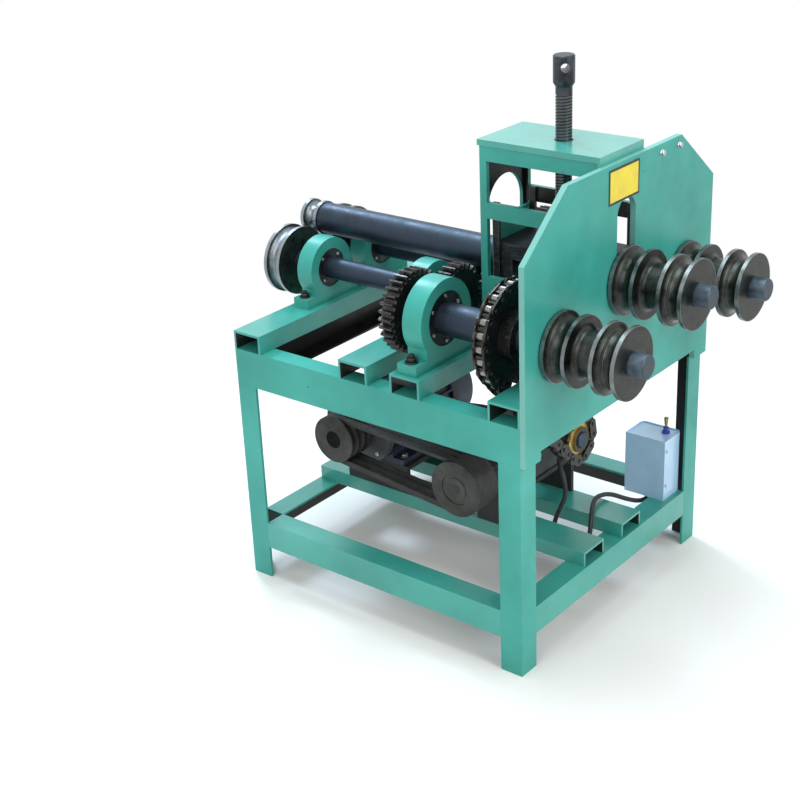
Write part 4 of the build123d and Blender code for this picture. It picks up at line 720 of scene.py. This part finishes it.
# Bolts on the drive: gearbox foot and motor feet, gearbox covers, worm covers, motor shield
gearbox_foot, gearbox_foot_top = (0.028, 0.078), 0.271
motor_foot, motor_foot_top = (0.061, 0.046), 0.246
gearbox_reach, gearbox_circle = 0.055, 0.055
worm_reach, worm_circle = 0.098, 0.027
shield_face, shield_circle = -0.168, 0.074
drive_bolts = bmesh.new()
for sign in (-1, 1):
    for edge in (-1, 1):
        place = (worm_axis[0] + edge * gearbox_foot[0], output_axis[0] + sign * gearbox_foot[1])
        bolt(drive_bolts, (*place, gearbox_foot_top), upward, 0.010)
        place = (motor_axis[0] + edge * motor_foot[0], motor_middle + sign * motor_foot[1])
        bolt(drive_bolts, (*place, motor_foot_top), upward, 0.009)
for direction in (forward, backward):
    center = (worm_axis[0] + direction[0] * gearbox_reach, *output_axis)
    bolt_circle(drive_bolts, center, direction, gearbox_circle, 6, 0, 0.006)
for sign in (-1, 1):
    center = (worm_axis[0], output_axis[0] + sign * worm_reach, worm_axis[1])
    bolt_circle(drive_bolts, center, (0, sign, 0), worm_circle, 4, 45, 0.005)
center = (motor_axis[0], shield_face, motor_axis[1])
bolt_circle(drive_bolts, center, (0, -1, 0), shield_circle, 4, 45, 0.006)
piece("drive_bolts", drive_bolts, bright_steel, "frame")

# Bolts through the small holes of the front plate, with their nuts behind it
plate_bolt_height, plate_bolt_size, shank_radius, shank_lap = 0.943, 0.0078, 0.0042, 0.001
shank_length = plate_face - frame_front + 2 * shank_lap
plate_bolts = bmesh.new()
for across in (0.128, 0.196):
    front, back, start = (
        (place, across, plate_bolt_height)
        for place in (plate_face, frame_front, frame_front - shank_lap)
    )
    bolt(plate_bolts, front, forward, plate_bolt_size)
    bolt(plate_bolts, back, backward, plate_bolt_size, stud=0.004)
    turned(plate_bolts, facing(start, forward), [(0, shank_radius), (shank_length, shank_radius)])
piece("plate_bolts", plate_bolts, zinc, "frame")

# Small screws of the control box and of the terminal box
control_face, control_screw, terminal_face, terminal_screw = (0.286, 0.2335), 0.0036, -0.106, 0.004
terminal_across, terminal_rise = 0.036, 0.026
box_screws = bmesh.new()
for height in (0.170, 0.252):
    round_screw(box_screws, (*control_face, height), forward, control_screw)
for sign in (-1, 1):
    for level in (-1, 1):
        across = motor_middle + sign * terminal_across
        height = motor_axis[1] + level * terminal_rise
        round_screw(box_screws, (terminal_face, across, height), forward, terminal_screw)
piece("box_screws", box_screws, bright_steel, "frame")

# Blank label plate with a dark border
label_left, label_right, label_bottom, label_top = -0.066, 0.043, 0.886, 0.954
label_border, label_wall = 0.0065, 0.0008
label = bmesh.new()
outer = [
    (label_left, label_bottom),
    (label_right, label_bottom),
    (label_right, label_top),
    (label_left, label_top),
]
back_loop = [label.verts.new((plate_face, y, z)) for y, z in outer]
front_loop = [label.verts.new((plate_face + label_wall, y, z)) for y, z in outer]
for index in range(4):
    after = (index + 1) % 4
    label.faces.new((back_loop[index], back_loop[after], front_loop[after], front_loop[index]))
label.faces.new(reversed(back_loop))
front = label.faces.new(front_loop)
label.normal_update()
bmesh.ops.inset_region(label, faces=[front], thickness=label_border)
front.material_index = 1
label_piece = piece("blank_label", label, black_ink, "frame")
label_piece.data.materials.append(yellow_plate)

# Chain: rivet heads on both sides of every roller
chain_pitch, large_teeth, small_teeth, links = 0.0254, 24, 11, 48
link_face, rivet_rows = 0.0139, [(0, 0.0040), (0.0012, 0.0040), (0.0020, 0.0028)]
large_center, small_center = Vector(mirrored(front_axis)), Vector(output_axis)
large_radius = chain_pitch / (2 * math.sin(math.pi / large_teeth))
small_radius = chain_pitch / (2 * math.sin(math.pi / small_teeth))
run = small_center - large_center
heading = math.atan2(run.y, run.x)
spread_angle = math.acos((large_radius - small_radius) / run.length)
large_wrap = large_teeth * (1 - spread_angle / math.pi)
small_wrap = small_teeth * spread_angle / math.pi
straight = (links - large_wrap - small_wrap) / 2


def on_large(angle):
    """Point on the large sprocket's pitch circle."""
    return large_center + large_radius * Vector((math.cos(angle), math.sin(angle)))


def on_small(angle):
    """Point on the small sprocket's pitch circle."""
    return small_center + small_radius * Vector((math.cos(angle), math.sin(angle)))


def roller_place(link_index):
    """Centre of a chain roller, counted along the loop."""
    upper, lower = heading + spread_angle, heading - spread_angle
    if link_index <= large_wrap:
        return on_large(upper + link_index * 2 * math.pi / large_teeth)
    link_index -= large_wrap
    if link_index <= straight:
        return on_large(lower).lerp(on_small(lower), link_index / straight)
    link_index -= straight
    if link_index <= small_wrap:
        return on_small(lower + link_index * 2 * math.pi / small_teeth)
    link_index -= small_wrap
    return on_small(upper).lerp(on_large(upper), link_index / straight)


rivets = bmesh.new()
for link_index in range(links):
    y, z = roller_place(link_index)
    for direction in (backward, forward):
        matrix = facing((sprocket_plane + direction[0] * link_face, y, z), direction)
        turned(rivets, matrix, rivet_rows, 12)
piece("chain_rivets", rivets, bolt_steel, "frame")


# Floor, light and camera
def looked_at(tree):
    """1 for rays that end in the picture straight, mirrored or through a surface."""
    path = tree.nodes.new("ShaderNodeLightPath")
    seen = larger(tree, path.outputs["Is Camera Ray"], path.outputs["Is Glossy Ray"])
    return larger(tree, seen, path.outputs["Is Transmission Ray"])


reach, shadow_range, white = 30.0, (0.7, 1.5), (1.0, 1.0, 1.0)
corners = [(-reach, -reach, 0), (reach, -reach, 0), (reach, reach, 0), (-reach, reach, 0)]
floor_data = bpy.data.meshes.new("floor")
floor_data.from_pydata(corners, [], [(0, 1, 2, 3)])
floor = bpy.data.objects.new("floor", floor_data)
bpy.context.collection.objects.link(floor)
floor_material, floor_tree, floor_shader = new_material("pale_floor")
floor_shader.inputs["Base Color"].default_value = (0.93, 0.90, 0.87, 1.0)
floor_shader.inputs["Roughness"].default_value = 0.9
floor_shader.inputs["Specular IOR Level"].default_value = 0.1
paper = floor_tree.nodes.new("ShaderNodeEmission")
paper.inputs["Color"].default_value = (*white, 1.0)
floor_radius = axis_radius(floor_tree, (0.0, 0.0), 2)[0]
far_away = spread(floor_tree, floor_radius, shadow_range)
far_away = product(floor_tree, far_away, looked_at(floor_tree))
floor_mix = floor_tree.nodes.new("ShaderNodeMixShader")
floor_tree.links.new(far_away, floor_mix.inputs["Fac"])
floor_tree.links.new(floor_shader.outputs["BSDF"], floor_mix.inputs[1])
floor_tree.links.new(paper.outputs["Emission"], floor_mix.inputs[2])
floor_output = floor_tree.nodes["Material Output"]
floor_tree.links.new(floor_mix.outputs["Shader"], floor_output.inputs["Surface"])
floor_data.materials.append(floor_material)

sky_strength, sky_colour = 0.56, (0.92, 0.97, 1.0)
world = bpy.data.worlds.new("studio")
bpy.context.scene.world = world
world.use_nodes = True
world_tree = world.node_tree
sky = world_tree.nodes["Background"]
strength = spread(world_tree, looked_at(world_tree), (0.0, 1.0), (sky_strength, 1.0))
world_tree.links.new(strength, sky.inputs["Strength"])
tint = blended(world_tree, looked_at(world_tree), sky_colour, white)
world_tree.links.new(tint, sky.inputs["Color"])


def lamp(name, place, size, power, colour=white):
    """Square soft lamp that points at the machine's middle."""
    data = bpy.data.lights.new(name, "AREA")
    data.size = size
    data.energy = power
    data.color = colour
    made = bpy.data.objects.new(name, data)
    made.matrix_world = facing(place, Vector(place) - Vector((0.0, 0.0, 0.5)))
    bpy.context.collection.objects.link(made)


lamp("key_lamp", (0.6, -3.2, 3.0), 2.4, 46.0)
lamp("front_lamp", (3.6, -0.4, 2.2), 2.2, 64.0)
lamp("top_lamp", (-0.4, 0.2, 4.4), 2.4, 115.0, (0.78, 0.94, 1.0))
lamp("back_lamp", (-2.6, 1.2, 3.8), 1.0, 90.0, (0.62, 0.80, 1.0))

azimuth, elevation, roll = (
    math.radians(angle) for angle in (camera_azimuth, camera_elevation, camera_roll)
)
level = Vector((math.sin(azimuth), -math.cos(azimuth), 0.0))
toward = math.cos(elevation) * level + math.sin(elevation) * Vector(upward)
right = Vector((math.cos(azimuth), math.sin(azimuth), 0.0))
up = toward.cross(right)
camera_right = math.cos(roll) * right + math.sin(roll) * up
camera_up = math.cos(roll) * up - math.sin(roll) * right
camera_turn = Matrix((camera_right, camera_up, toward)).transposed().to_4x4()
camera_data = bpy.data.cameras.new("photo_camera")
camera_data.sensor_width = sensor_width
camera_data.lens = focal_pixels / image_pixels * sensor_width
camera = bpy.data.objects.new("photo_camera", camera_data)
camera.matrix_world = Matrix.Translation(camera_place) @ camera_turn
bpy.context.collection.objects.link(camera)
bpy.context.scene.camera = camera
bpy.context.scene.view_settings.view_transform = "Standard"
